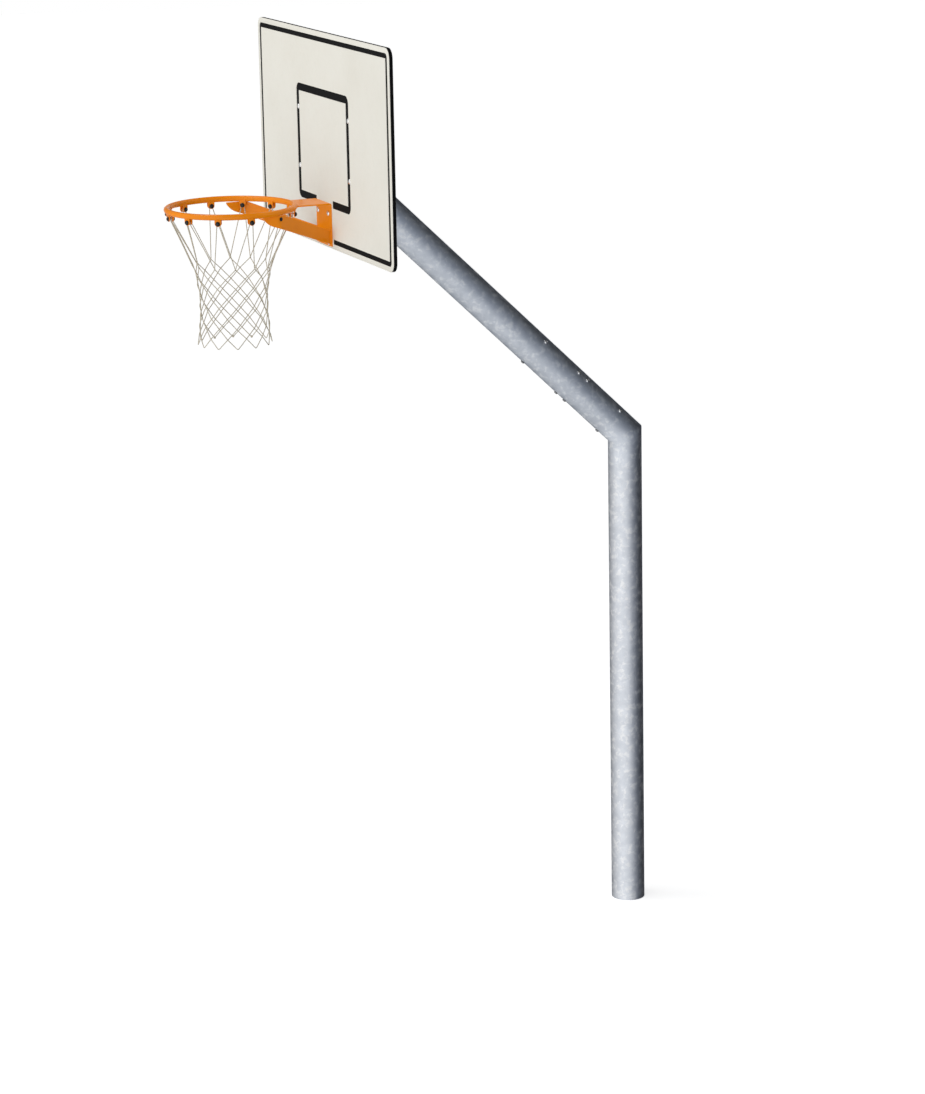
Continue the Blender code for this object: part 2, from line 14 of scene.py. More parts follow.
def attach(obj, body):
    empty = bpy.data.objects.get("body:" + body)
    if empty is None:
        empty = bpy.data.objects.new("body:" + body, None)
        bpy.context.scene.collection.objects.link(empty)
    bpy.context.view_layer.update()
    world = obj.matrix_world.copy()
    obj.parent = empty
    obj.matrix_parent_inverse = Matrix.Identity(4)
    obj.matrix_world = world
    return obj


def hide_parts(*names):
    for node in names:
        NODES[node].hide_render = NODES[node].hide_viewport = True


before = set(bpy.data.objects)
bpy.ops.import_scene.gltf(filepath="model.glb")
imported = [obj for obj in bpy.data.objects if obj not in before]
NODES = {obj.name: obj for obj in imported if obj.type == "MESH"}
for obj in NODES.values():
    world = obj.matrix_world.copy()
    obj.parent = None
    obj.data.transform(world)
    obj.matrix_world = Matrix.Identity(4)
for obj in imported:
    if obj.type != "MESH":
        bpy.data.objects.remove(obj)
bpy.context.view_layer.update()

# ---------------------------------------------------------------- dimensions
GAP = 0.0003
TUBE_R, TUBE_WALL = 0.0665, 0.0045
BEND_Z, ARM_DEG = 1.9243, 43.96
SPLICE_S, SPLICE_NEAR, SPLICE_FAR = 0.3185, 0.0245, 0.2175
SPLICE_ANGLES = (40.0, 140.0, 270.0)

BOARD_W, BOARD_H, BOARD_T = 1.400, 0.800, 0.0155
BOARD_Y, BOARD_Z0, BOARD_R = -1.2286, 2.7622, 0.037
BOARD_SKIN, BOARD_REAR_SKIN = 0.0017, 0.0006
BORDER_IN, BORDER_W = 0.0193, 0.0184
TARGET_X, TARGET_Z0, TARGET_Z1, TARGET_W = 0.2780, 2.9155, 3.3510, 0.0288
LINE_DEPTH, LINE_BREAK = 0.0024, 0.0855
BOARD_BOLT_X, BOARD_BOLT_Z = 0.2650, (3.0377, 3.2605)
CBORE_R, CBORE_DEPTH = 0.0120, 0.0042

RING_R_IN, RING_TUBE_R, RING_Z, RING_Y = 0.2250, 0.0110, 2.9348, -1.5991
PLATE_X, PLATE_T, PLATE_Z0, PLATE_Z1 = 0.0770, 0.0050, 2.7716, 2.9345
RING_BOLT_X, RING_BOLT_Z = 0.0535, (2.7855, 2.8950)
BRACE_R, BRACE_T = 0.2415, 0.0050
BRACE_SLOPE, BRACE_ARC_R, BRACE_TIP = 0.3415, 0.070, 0.0675

LUG_COUNT, LUG_W, LUG_T = 12, 0.0240, 0.0030
LUG_IN, LUG_OUT, LUG_AXIS = 0.2240, 0.2420, 0.0235
LUG_TOP_IN, LUG_TOP_OUT = -0.0040, -0.0085
BRACE_LUGS = (1, 5)
LUG_CAP_R, LUG_CAP_H, LUG_BOLT_R = 0.0088, 0.0068, 0.0040
LUG_END_R, LUG_END_H = 0.0074, 0.0046

HEAD_X, HEAD_Z0, HEAD_Z1, HEAD_T, HEAD_DEPTH = 0.1000, 2.7650, 3.3200, 0.0080, 0.0700
WING_X, WING_H, WING_T, WING_LEG = 0.3100, 0.0600, 0.0080, 0.0450

RING_RC = RING_R_IN + RING_TUBE_R
ARM = Vector((0.0, -cos(radians(ARM_DEG)), sin(radians(ARM_DEG))))
ARM_UP = Vector((0.0, sin(radians(ARM_DEG)), cos(radians(ARM_DEG))))
XDIR = Vector((1.0, 0.0, 0.0))
BEND = Vector((0.0, 0.0, BEND_Z))
BOARD_BACK = BOARD_Y + BOARD_T
RING_O = Vector((0.0, RING_Y, RING_Z))

STATIONS = [SPLICE_S - SPLICE_FAR, SPLICE_S - SPLICE_NEAR,
            SPLICE_S + SPLICE_NEAR, SPLICE_S + SPLICE_FAR]


# ---------------------------------------------------------------- camera
def make_camera():
    """The photograph's viewpoint.  f_px is the focal length in pixels of a
    925 x 1094 image, whose longer side the sensor's width spans."""
    at = Vector((12.1687, -5.6599, 4.8356))
    az, el, roll, f_px = radians(67.8197), radians(14.0812), radians(-1.1055), 3481.66
    fwd = Vector((-sin(az) * cos(el), cos(az) * cos(el), -sin(el)))
    right = Vector((cos(az), sin(az), 0))
    up = right.cross(fwd)
    r = right * cos(roll) + up * sin(roll)
    u = up * cos(roll) - right * sin(roll)
    data = bpy.data.cameras.new("camera")
    data.sensor_fit = 'AUTO'
    data.sensor_width = 36.0
    data.lens = 36.0 * f_px / 1094.0
    data.clip_start, data.clip_end = 0.5, 200.0
    cam = bpy.data.objects.new("camera", data)
    bpy.context.scene.collection.objects.link(cam)
    m = Matrix.Identity(4)
    for i in range(3):
        m[i][0], m[i][1], m[i][2], m[i][3] = r[i], u[i], -fwd[i], at[i]
    cam.matrix_world = m
    bpy.context.scene.camera = cam


# ---------------------------------------------------------------- node helpers
class Tree:
    """A short way to write a material's or world's nodes."""

    def __init__(self, tree):
        self.t = tree
        self.x = -1600

    def add(self, kind, **values):
        n = self.t.nodes.new(kind)
        n.location = (self.x, 0)
        self.x += 60
        for k, v in values.items():
            setattr(n, k, v)
        return n

    def link(self, a, b):
        self.t.links.new(a, b)

    def coords(self, scale=(1, 1, 1), rotate=(0, 0, 0)):
        c = self.add('ShaderNodeTexCoord')
        m = self.add('ShaderNodeMapping')
        m.inputs['Scale'].default_value = scale
        m.inputs['Rotation'].default_value = rotate
        self.link(c.outputs['Object'], m.inputs['Vector'])
        return m.outputs['Vector']

    def noise(self, vec, scale, detail=2.0, rough=0.5, warp=0.0):
        n = self.add('ShaderNodeTexNoise')
        n.inputs['Scale'].default_value = scale
        n.inputs['Detail'].default_value = detail
        n.inputs['Roughness'].default_value = rough
        n.inputs['Distortion'].default_value = warp
        self.link(vec, n.inputs['Vector'])
        return n.outputs['Fac']

    def cells(self, vec, scale, out='Color', feature='F1'):
        n = self.add('ShaderNodeTexVoronoi', feature=feature)
        n.inputs['Scale'].default_value = scale
        self.link(vec, n.inputs['Vector'])
        return n.outputs[out]

    def ramp(self, fac, stops, mode='LINEAR'):
        n = self.add('ShaderNodeValToRGB')
        n.color_ramp.interpolation = mode
        e = n.color_ramp.elements
        while len(e) < len(stops):
            e.new(0.5)
        for i, (p, c) in enumerate(stops):
            e[i].position = p
            e[i].color = (c, c, c, 1) if isinstance(c, (int, float)) else (*c, 1)
        self.link(fac, n.inputs['Fac'])
        return n.outputs['Color']

    def span(self, fac, a, b, lo, hi, smooth=False):
        n = self.add('ShaderNodeMapRange')
        if smooth:
            n.interpolation_type = 'SMOOTHSTEP'
        for k, v in (('From Min', a), ('From Max', b), ('To Min', lo), ('To Max', hi)):
            n.inputs[k].default_value = v
        self.link(fac, n.inputs['Value'])
        return n.outputs['Result']

    def math(self, op, a, b=None, clamp=False):
        n = self.add('ShaderNodeMath', operation=op)
        n.use_clamp = clamp
        for i, v in enumerate((a, b)):
            if v is None:
                continue
            if isinstance(v, (int, float)):
                n.inputs[i].default_value = v
            else:
                self.link(v, n.inputs[i])
        return n.outputs[0]

    def mix(self, fac, a, b, mode='MIX'):
        n = self.add('ShaderNodeMix', data_type='RGBA', blend_type=mode)
        for sock, v in ((n.inputs['Factor'], fac), (n.inputs[6], a), (n.inputs[7], b)):
            if isinstance(v, (int, float)):
                sock.default_value = v
            elif isinstance(v, tuple):
                sock.default_value = (*v, 1)
            else:
                self.link(v, sock)
        return n.outputs[2]

    def bump(self, height, strength, distance, normal=None):
        n = self.add('ShaderNodeBump')
        n.inputs['Strength'].default_value = strength
        n.inputs['Distance'].default_value = distance
        self.link(height, n.inputs['Height'])
        if normal is not None:
            self.link(normal, n.inputs['Normal'])
        return n.outputs['Normal']


def new_material(name, metallic=0.0, **sockets):
    m = bpy.data.materials.new(name)
    m.use_nodes = True
    b = m.node_tree.nodes['Principled BSDF']
    b.inputs['Metallic'].default_value = metallic
    for k, v in sockets.items():
        b.inputs[k.replace('_', ' ')].default_value = v
    return m, Tree(m.node_tree), b.inputs


def galvanised(name="galvanised_zinc", weld=False):
    """Hot-dip zinc: dull blue-grey with soft whitish flowers 10 to 25 mm wide."""
    m, t, s = new_material(name, metallic=1.0, Specular_Tint=(0.05, 0.06, 0.08, 1.0))
    v = t.coords()
    warp = t.add('ShaderNodeTexNoise')
    warp.inputs['Scale'].default_value = 38.0
    warp.inputs['Detail'].default_value = 3.0
    t.link(v, warp.inputs['Vector'])
    wob = t.add('ShaderNodeVectorMath', operation='SCALE')
    wob.inputs['Scale'].default_value = 0.030
    t.link(warp.outputs['Color'], wob.inputs[0])
    pos = t.add('ShaderNodeVectorMath', operation='ADD')
    t.link(v, pos.inputs[0])
    t.link(wob.outputs[0], pos.inputs[1])
    p = pos.outputs[0]
    cell = t.cells(p, 66.0, feature='SMOOTH_F1')
    grain = t.span(cell, 0.15, 0.85, 0.0, 1.0, True)
    cloud = t.noise(v, 30.0, 3.0, 0.55, 0.3)
    patch = t.noise(p, 56.0, 1.5, 0.45, 0.1)
    flowers = t.math('MAXIMUM', t.span(patch, 0.48, 0.66, 0.0, 1.0, True),
                     t.span(cell, 0.58, 0.80, 0.0, 0.75, True))
    flowers = t.math('MULTIPLY', flowers, t.span(cloud, 0.36, 0.60, 0.10, 1.0, True))
    fine = t.noise(v, 420.0, 3.0, 0.6)
    base = t.mix(t.span(cloud, 0.3, 0.7, 0.0, 1.0, True), (0.562, 0.590, 0.636), (0.655, 0.680, 0.722))
    base = t.mix(t.math('MULTIPLY', grain, 0.25), base, (0.725, 0.745, 0.782))
    base = t.mix(t.math('MULTIPLY', flowers, 0.75), base, (0.865, 0.868, 0.872))
    base = t.mix(t.span(fine, 0.35, 0.75, 0.0, 0.12), base, (0.36, 0.38, 0.41))
    # painted light: from 1.7 m up the zinc is tinted cooler, standing in for the cool light on the elbow and arm
    height = t.add('ShaderNodeSeparateXYZ')
    t.link(v, height.inputs[0])
    high = t.span(height.outputs['Z'], 1.70, 2.05, 0.0, 1.0, True)
    base = t.mix(high, base, (0.975, 1.000, 1.030), 'MULTIPLY')
    t.link(base, s['Base Color'])
    rough = t.math('ADD', t.span(grain, 0.0, 1.0, 0.46, 0.54), t.span(flowers, 0.0, 1.0, 0.0, 0.08))
    t.link(rough, s['Roughness'])
    h = t.math('ADD', t.math('MULTIPLY', cloud, 0.8), t.math('MULTIPLY', fine, 0.06))
    h = t.math('ADD', h, t.math('MULTIPLY', grain, 0.10))
    t.link(t.bump(h, 0.30, 0.0012), s['Normal'])
    return m


def orange_coat(name="orange_powder_coat", gloss=1.0):
    """Powder coat on steel: even colour, fine orange peel, a soft gloss."""
    m, t, s = new_material(name, Specular_IOR_Level=0.15 * gloss, Coat_Weight=0.17 * gloss,
                           Coat_Roughness=0.14)
    v = t.coords()
    cloud = t.noise(v, 9.0, 2.0)
    peel = t.noise(v, 620.0, 1.0, 0.4)
    dust = t.noise(v, 1500.0, 1.0)
    base = t.mix(t.span(cloud, 0.3, 0.7, 0.0, 1.0), (0.868, 0.244, 0.0012), (0.928, 0.271, 0.0016))
    base = t.mix(t.span(dust, 0.55, 0.85, 0.0, 0.10), base, (0.55, 0.13, 0.002))
    t.link(base, s['Base Color'])
    t.link(t.span(t.noise(v, 60.0, 3.0), 0.3, 0.7, 0.30, 0.40), s['Roughness'])
    t.link(t.bump(peel, 0.22, 0.0004), s['Normal'])
    return m


def board_skin():
    """Cream outer layer of the moulded sheet, with a matte pebbled surface."""
    m, t, s = new_material("board_cream_skin", Specular_IOR_Level=0.35)
    v = t.coords()
    cloud = t.noise(v, 2.6, 3.0, 0.55)
    mott = t.noise(v, 46.0, 3.0, 0.6)
    pebble = t.noise(v, 900.0, 2.0, 0.5)
    base = t.mix(t.span(cloud, 0.3, 0.7, 0.0, 1.0), (0.755, 0.735, 0.660), (0.800, 0.785, 0.715))
    base = t.mix(t.span(mott, 0.50, 0.80, 0.0, 0.16), base, (0.66, 0.64, 0.565))
    t.link(base, s['Base Color'])
    t.link(t.span(mott, 0.3, 0.7, 0.50, 0.62), s['Roughness'])
    t.link(t.bump(pebble, 0.25, 0.0004), s['Normal'])
    return m


def board_core():
    """Black recycled core that shows in the routed lines and on the edges."""
    m, t, s = new_material("board_black_core", Specular_IOR_Level=0.08)
    v = t.coords()
    fleck = t.noise(v, 260.0, 3.0, 0.65)
    cut = t.noise(t.coords((1.0, 1.0, 1.0)), 1300.0, 1.0)
    base = t.mix(t.span(fleck, 0.35, 0.80, 0.0, 1.0), (0.0020, 0.0022, 0.0026), (0.0085, 0.0084, 0.0088))
    t.link(base, s['Base Color'])
    t.link(t.span(fleck, 0.3, 0.7, 0.55, 0.72), s['Roughness'])
    t.link(t.bump(cut, 0.35, 0.0004), s['Normal'])
    return m


def stainless(name="stainless_steel", dull=False):
    """Bright stainless steel; with dull set it is a much darker, rougher copy, painted shade for the heads that
    face down.
    """
    m, t, s = new_material(name, metallic=1.0)
    v = t.coords()
    swirl = t.noise(v, 800.0, 3.0, 0.6)
    hi, lo = ((0.26, 0.265, 0.275), (0.14, 0.143, 0.150)) if dull else ((0.94, 0.94, 0.93), (0.86, 0.86, 0.85))
    base = t.mix(t.span(swirl, 0.3, 0.75, 0.0, 1.0), hi, lo)
    t.link(base, s['Base Color'])
    t.link(t.span(swirl, 0.3, 0.7, 0.20 if dull else 0.10, 0.30 if dull else 0.16), s['Roughness'])
    t.link(t.bump(swirl, 0.08, 0.0002), s['Normal'])
    return m


def black_cap():
    m, t, s = new_material("black_nylon_cap", Specular_IOR_Level=0.40)
    v = t.coords()
    n = t.noise(v, 700.0, 2.0)
    base = t.mix(t.span(n, 0.3, 0.75, 0.0, 1.0), (0.0022, 0.0024, 0.0030), (0.0060, 0.0062, 0.0070))
    t.link(base, s['Base Color'])
    t.link(t.span(n, 0.3, 0.7, 0.16, 0.24), s['Roughness'])
    t.link(t.bump(n, 0.10, 0.0002), s['Normal'])
    return m


def net_cord():
    """Off-white twisted cord with fine fibres and a little grime."""
    m, t, s = new_material("net_twine", Specular_IOR_Level=0.25, Sheen_Weight=0.25,
                           Sheen_Roughness=0.5)
    v = t.coords()
    grime = t.noise(v, 34.0, 3.0, 0.6)
    fibre = t.noise(t.coords((1.0, 1.0, 0.25)), 2600.0, 2.0, 0.6)
    base = t.mix(t.span(grime, 0.35, 0.70, 0.0, 1.0), (0.640, 0.590, 0.470), (0.540, 0.490, 0.380))
    base = t.mix(t.span(fibre, 0.35, 0.75, 0.0, 0.35), base, (0.36, 0.322, 0.243))
    t.link(base, s['Base Color'])
    t.link(t.span(fibre, 0.3, 0.7, 0.72, 0.90), s['Roughness'])
    t.link(t.bump(fibre, 0.5, 0.0004), s['Normal'])
    return m


GALV = galvanised()
ORANGE = orange_coat()
# a less glossy copy of the coat: painted shade on the upright leg's front, under the flat leg
ORANGE_PAINTED_SHADE = orange_coat("orange_powder_coat_painted_shade", 0.375)
SKIN = board_skin()
CORE = board_core()
INOX = stainless()
# a darker, rougher copy of the steel: painted shade on the splice heads that face down
INOX_PAINTED_SHADE = stainless("stainless_steel_painted_shade", True)
CAP = black_cap()
CORD = net_cord()


# ---------------------------------------------------------------- mesh helpers
def finish(bm, name, mats, smooth=35.0, weighted=False, stands_for=(), keep=True):
    """Turn a bmesh into a piece; mats is a material or a list of them."""
    bmesh.ops.recalc_face_normals(bm, faces=bm.faces[:])
    me = bpy.data.meshes.new(name)
    bm.to_mesh(me)
    bm.free()
    ob = bpy.data.objects.new(name, me)
    bpy.context.scene.collection.objects.link(ob)
    mats = mats if isinstance(mats, (list, tuple)) else [mats]
    for m in mats:
        me.materials.append(m)
    if smooth:
        me.shade_smooth()
        me.set_sharp_from_angle(angle=radians(smooth))
    if weighted:
        w = ob.modifiers.new("weighted", 'WEIGHTED_NORMAL')
        w.keep_sharp = True
        w.weight = 80
    if keep:
        own(ob, stands_for)
    return ob


def own(ob, stands_for=()):
    if stands_for:
        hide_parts(*stands_for)
    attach(ob, "root")


def apply_all(ob):
    """Replace the mesh by its evaluated one and drop the modifiers."""
    dg = bpy.context.evaluated_depsgraph_get()
    me = bpy.data.meshes.new_from_object(ob.evaluated_get(dg), depsgraph=dg)
    old = ob.data
    ob.modifiers.clear()
    ob.data = me
    me.name = ob.name
    bpy.data.meshes.remove(old)
    return ob


def boolean(ob, tool, operation='DIFFERENCE'):
    """Apply a Boolean at once and remove the tool."""
    m = ob.modifiers.new("bool", 'BOOLEAN')
    m.operation = operation
    m.solver = 'EXACT'
    m.object = tool
    bpy.context.view_layer.update()
    apply_all(ob)
    me = tool.data
    bpy.data.objects.remove(tool, do_unlink=True)
    bpy.data.meshes.remove(me)
    return ob


def volume(ob):
    bm = bmesh.new()
    bm.from_mesh(ob.data)
    v = bm.calc_volume()
    bm.free()
    return v


def tool(bm, name="tool"):
    return finish(bm, name, CAP, 0, keep=False)


def tidy(bm):
    bmesh.ops.remove_doubles(bm, verts=bm.verts[:], dist=2e-6)
    bmesh.ops.dissolve_degenerate(bm, dist=2e-6, edges=bm.edges[:])


def soften(bm, width, segments=2, angle=30.0, only=None):
    """Round the sharp edges of a solid."""
    bmesh.ops.recalc_face_normals(bm, faces=bm.faces[:])
    edges = [e for e in bm.edges if len(e.link_faces) == 2
             and e.calc_face_angle(0.0) > radians(angle) and (only is None or only(e))]
    if edges:
        bmesh.ops.bevel(bm, geom=edges, offset=width, offset_type='OFFSET', segments=segments,
                        profile=0.5, affect='EDGES', clamp_overlap=True)


def reopen(ob):
    bm = bmesh.new()
    bm.from_mesh(ob.data)
    return bm


def reseal(ob, bm, smooth=35.0, weighted=False):
    bmesh.ops.recalc_face_normals(bm, faces=bm.faces[:])
    bm.to_mesh(ob.data)
    bm.free()
    ob.data.shade_smooth()
    ob.data.set_sharp_from_angle(angle=radians(smooth))
    if weighted:
        w = ob.modifiers.new("weighted", 'WEIGHTED_NORMAL')
        w.keep_sharp = True
        w.weight = 80


def loop_of(bm, pts):
    return [bm.verts.new(p) for p in pts]


def skin(bm, loops, caps=True, wrap=False, mat=0):
    n = len(loops[0])
    rng = range(len(loops)) if wrap else range(len(loops) - 1)
    for i in rng:
        a, b = loops[i], loops[(i + 1) % len(loops)]
        for j in range(n):
            k = (j + 1) % n
            f = bm.faces.new((a[j], a[k], b[k], b[j]))
            f.material_index = mat
    if not wrap and caps:
        bm.faces.new(list(reversed(loops[0]))).material_index = mat
        bm.faces.new(loops[-1]).material_index = mat


def frame_for(axis):
    a = Vector(axis).normalized()
    ref = Vector((0, 0, 1)) if abs(a.z) < 0.9 else Vector((1, 0, 0))
    u = a.cross(ref).normalized()
    return a, u, a.cross(u).normalized()


def hex_radius(t, r_flat):
    return r_flat / cos(t % (pi / 3) - pi / 6)


def turned(bm, base, axis, profile, seg, mats=None):
    """A solid of revolution from (distance, radius) rows; a radius of zero
    closes an end, and a row (distance, radius, 'hex') is a hexagon whose
    radius is to the flats.  mats gives each band's material index."""
    a, u, v = frame_for(axis)
    base = Vector(base)
    loops = []
    for row in profile:
        d, r = row[0], row[1]
        if r <= 0.0:
            loops.append([bm.verts.new(base + a * d)])
            continue
        pts = []
        for i in range(seg):
            t = 2 * pi * i / seg
            rr = min(hex_radius(t, r), r * 1.13) if len(row) > 2 else r
            pts.append(base + a * d + (u * cos(t) + v * sin(t)) * rr)
        loops.append(loop_of(bm, pts))
    for n, (p, q) in enumerate(zip(loops, loops[1:])):
        mi = mats[n] if mats else 0
        if len(p) == 1 and len(q) == 1:
            continue
        for j in range(seg):
            k = (j + 1) % seg
            if len(p) == 1:
                f = bm.faces.new((p[0], q[k], q[j]))
            elif len(q) == 1:
                f = bm.faces.new((p[j], p[k], q[0]))
            else:
                f = bm.faces.new((p[j], p[k], q[k], q[j]))
            f.material_index = mi
    if len(loops[0]) > 1:
        bm.faces.new(list(reversed(loops[0])))
    if len(loops[-1]) > 1:
        bm.faces.new(loops[-1])


def ring_solid(bm, base, axis, profile, seg, phase=0.0):
    a, u, v = frame_for(axis)
    base = Vector(base)
    loops = []
    for i in range(seg):
        t = 2 * pi * (i + phase) / seg
        e = u * cos(t) + v * sin(t)
        loops.append(loop_of(bm, [base + a * row[0] + e * row[1] for row in profile]))
    skin(bm, loops, wrap=True)


def prism(bm, outline, origin, ex, ey, ez, depth):
    o, ex, ey, ez = Vector(origin), Vector(ex), Vector(ey), Vector(ez)
    low = loop_of(bm, [o + ex * p[0] + ey * p[1] for p in outline])
    high = loop_of(bm, [o + ex * p[0] + ey * p[1] + ez * depth for p in outline])
    skin(bm, [low, high])


def arc(cx, cy, r, a0, a1, n):
    return [(cx + r * cos(radians(a0 + (a1 - a0) * i / n)),
             cy + r * sin(radians(a0 + (a1 - a0) * i / n))) for i in range(n + 1)]


def rounded_rect(x0, y0, x1, y1, r, n=6):
    return (arc(x1 - r, y0 + r, r, -90, 0, n) + arc(x1 - r, y1 - r, r, 0, 90, n)
            + arc(x0 + r, y1 - r, r, 90, 180, n) + arc(x0 + r, y0 + r, r, 180, 270, n))


def bead(path, radius, name, mat, pitch=0.0026, closed=False, flat=1.0, ups=None, seg=10,
         swell=0.10, seed=1):
    """A weld seam: a rounded bead along a path, with the scales that the
    welder's steps leave.  ups gives the direction in which it stands proud."""
    rnd = random.Random(seed)
    pts = [Vector(p) for p in path]
    # resample at a third of the pitch
    step = pitch / 4
    if closed:
        pts.append(pts[0].copy())
    cum = [0.0]
    for a, b in zip(pts, pts[1:]):
        cum.append(cum[-1] + (b - a).length)
    total = cum[-1]
    n = max(6, int(total / step))
    out = []
    j = 0
    for i in range(n + (0 if closed else 1)):
        s = total * i / n
        while j < len(cum) - 2 and cum[j + 1] < s:
            j += 1
        f = (s - cum[j]) / max(cum[j + 1] - cum[j], 1e-9)
        out.append((s, pts[j].lerp(pts[j + 1], f), j, f))
    bm = bmesh.new()
    loops = []
    m = len(out)
    jig = [rnd.uniform(-1, 1) for _ in range(int(total / pitch) + 3)]
    for i, (s, p, j, f) in enumerate(out):
        a = out[(i - 1) % m][1] if closed or i > 0 else p
        b = out[(i + 1) % m][1] if closed or i < m - 1 else p
        t = (b - a).normalized()
        up = ups(p) if callable(ups) else (Vector(ups) if ups is not None else Vector((0, 0, 1)))
        side = t.cross(up).normalized()
        up = side.cross(t).normalized()
        ph = s / pitch
        k = int(ph)
        scale = 1.0 + swell * (0.5 - (ph - k)) + 0.04 * jig[k]
        if not closed:
            e = min(s, total - s) / (radius * 1.2)
            scale *= sqrt(max(0.02, 1 - (1 - min(1.0, e)) ** 2))
        lp = []
        for q in range(seg):
            w = 2 * pi * q / seg
            lp.append(p + side * (cos(w) * radius * scale) + up * (sin(w) * radius * flat * scale))
        loops.append(loop_of(bm, lp))
    skin(bm, loops, caps=not closed, wrap=closed)
    return finish(bm, name, mat, 60)


# ---------------------------------------------------------------- post and arm
def tube_rows(direction, origin, r, plane, seg):
    d, u, v = frame_for(direction)
    p, n = Vector(plane[0]), Vector(plane[1])
    pts = []
    for i in range(seg):
        t = 2 * pi * i / seg
        q = Vector(origin) + (u * cos(t) + v * sin(t)) * r
        pts.append(q + d * ((p - q).dot(n) / d.dot(n)))
    return pts


def wall_normals(ob, origin, axis, r_out, r_in, mitre=None, reach=0.1):
    """Round normals on a tube's walls, right up to its ends.  Within reach of
    the plane mitre = (point, normal) they lean into that plane, so that the
    light runs round the dressed joint."""
    me = ob.data
    origin = Vector(origin)
    normals = [Vector(c.vector) for c in me.corner_normals]
    for poly in me.polygons:
        for li in poly.loop_indices:
            co = me.vertices[me.loops[li].vertex_index].co
            rel = co - origin
            rad = rel - axis * rel.dot(axis)
            r = rad.length
            e = rad / r
            if r > r_out - 0.0010 and poly.normal.dot(e) > 0.95:
                n = e
            elif r < r_in + 0.0010 and poly.normal.dot(e) < -0.95:
                n = -e
            else:
                continue
            if mitre:
                d = abs((co - mitre[0]).dot(mitre[1]) / axis.dot(mitre[1]))
                w = max(0.0, 1.0 - d / reach)
                w = w * w * (3.0 - 2.0 * w)
                n = (n - mitre[1] * (n.dot(mitre[1]) * w)).normalized()
            normals[li] = n
    me.normals_split_custom_set(normals)


def tube(name, origin, direction, r_out, r_in, plane0, plane1, seg, mat, edges=(0.0004, 0.0004),
         stations=(), r_hole=0.0046, bands=24, grade=1.0, mitre=None, reach=0.1):
    """A tube between two cut planes, its ends' edges rounded.  A grade above
    one crowds the rows towards the second end, below minus one towards the
    first."""
    d, _, _ = frame_for(direction)
    bm = bmesh.new()
    o0 = tube_rows(direction, origin, r_out, plane0, seg)
    o1 = tube_rows(direction, origin, r_out, plane1, seg)
    i0 = tube_rows(direction, origin, r_in, plane0, seg)
    i1 = tube_rows(direction, origin, r_in, plane1, seg)

    def shift(pts, by):
        return [p + d * by for p in pts]

    def towards(a, b, by):
        return [p + (q - p).normalized() * by for p, q in zip(a, b)]

    e = edges[0]
    rows = [shift(i0, e), towards(i0, o0, e * 0.3), towards(i0, o0, e),
            towards(o0, i0, e), towards(o0, i0, e * 0.3), shift(o0, e)]
    rows[1] = [p + d * e * 0.3 for p in rows[1]]
    rows[4] = [p + d * e * 0.3 for p in rows[4]]
    e1 = edges[1]
    for k in range(1, bands):
        f = 1.0 - (1.0 - k / bands) ** grade if grade > 0 else (k / bands) ** -grade
        rows.append([a.lerp(b, f) for a, b in zip(shift(o0, e), shift(o1, -e1))])
    e = e1
    end = [shift(o1, -e), towards(o1, i1, e * 0.3), towards(o1, i1, e),
           towards(i1, o1, e), towards(i1, o1, e * 0.3), shift(i1, -e)]
    end[1] = [p - d * e * 0.3 for p in end[1]]
    end[4] = [p - d * e * 0.3 for p in end[4]]
    rows += end
    skin(bm, [loop_of(bm, r) for r in rows], wrap=True)
    ob = finish(bm, name, mat, 50, keep=False)
    if stations:
        bm = bmesh.new()
        for s in stations:
            for deg in SPLICE_ANGLES:
                rad = arm_radial(deg)
                turned(bm, BEND + ARM * s + rad * 0.045, rad, [(0.0, r_hole), (0.035, r_hole)], 24)
        boolean(ob, tool(bm))
        ob.data.shade_smooth()
        ob.data.set_sharp_from_angle(angle=radians(40))
    wall_normals(ob, origin, d, r_out, r_in, mitre, reach)
    own(ob, [name])
    return ob


def arm_radial(deg):
    t = radians(deg)
    return XDIR * cos(t) + ARM_UP * sin(t)


def button_profile(head_r, head_h, shank_r, length, socket, thread_from, pitch=0.00125):
    """Rows of a socket button head with a thread on the shank's end.  The
    seat is at 0, the head above it."""
    rows = [(-length, 0.0), (-length, shank_r * 0.72), (-length + shank_r * 0.22, shank_r * 0.92)]
    d = -length + shank_r * 0.22
    while d + pitch < -thread_from:
        rows += [(d + pitch * 0.38, shank_r), (d + pitch * 0.62, shank_r),
                 (d + pitch, shank_r * 0.86)]
        d += pitch
    rows += [(max(d + 0.0004, -thread_from), shank_r), (GAP, shank_r), (GAP, head_r * 0.96),
             (GAP + 0.0002, head_r * 0.99)]
    rim = head_h * 0.22
    rows += [(GAP + rim * 0.55, head_r), (GAP + rim, head_r * 0.995)]
    n = 10
    top = []
    for i in range(1, n + 1):
        a = (pi / 2) * i / n
        r = head_r * cos(a)
        h = GAP + rim + (head_h - rim) * sin(a)
        if r > socket * 1.28:
            top.append((h, r))
    rows += top
    h_edge = top[-1][0]
    lip = h_edge + (GAP + head_h - h_edge) * 0.35
    rows += [(lip, socket * 1.24), (lip, socket * 1.06, 'hex'), (lip - head_h * 0.08, socket, 'hex'),
             (lip - head_h * 0.62, socket, 'hex'), (lip - head_h * 0.70, socket * 0.5),
             (lip - head_h * 0.74, 0.0)]
    return rows


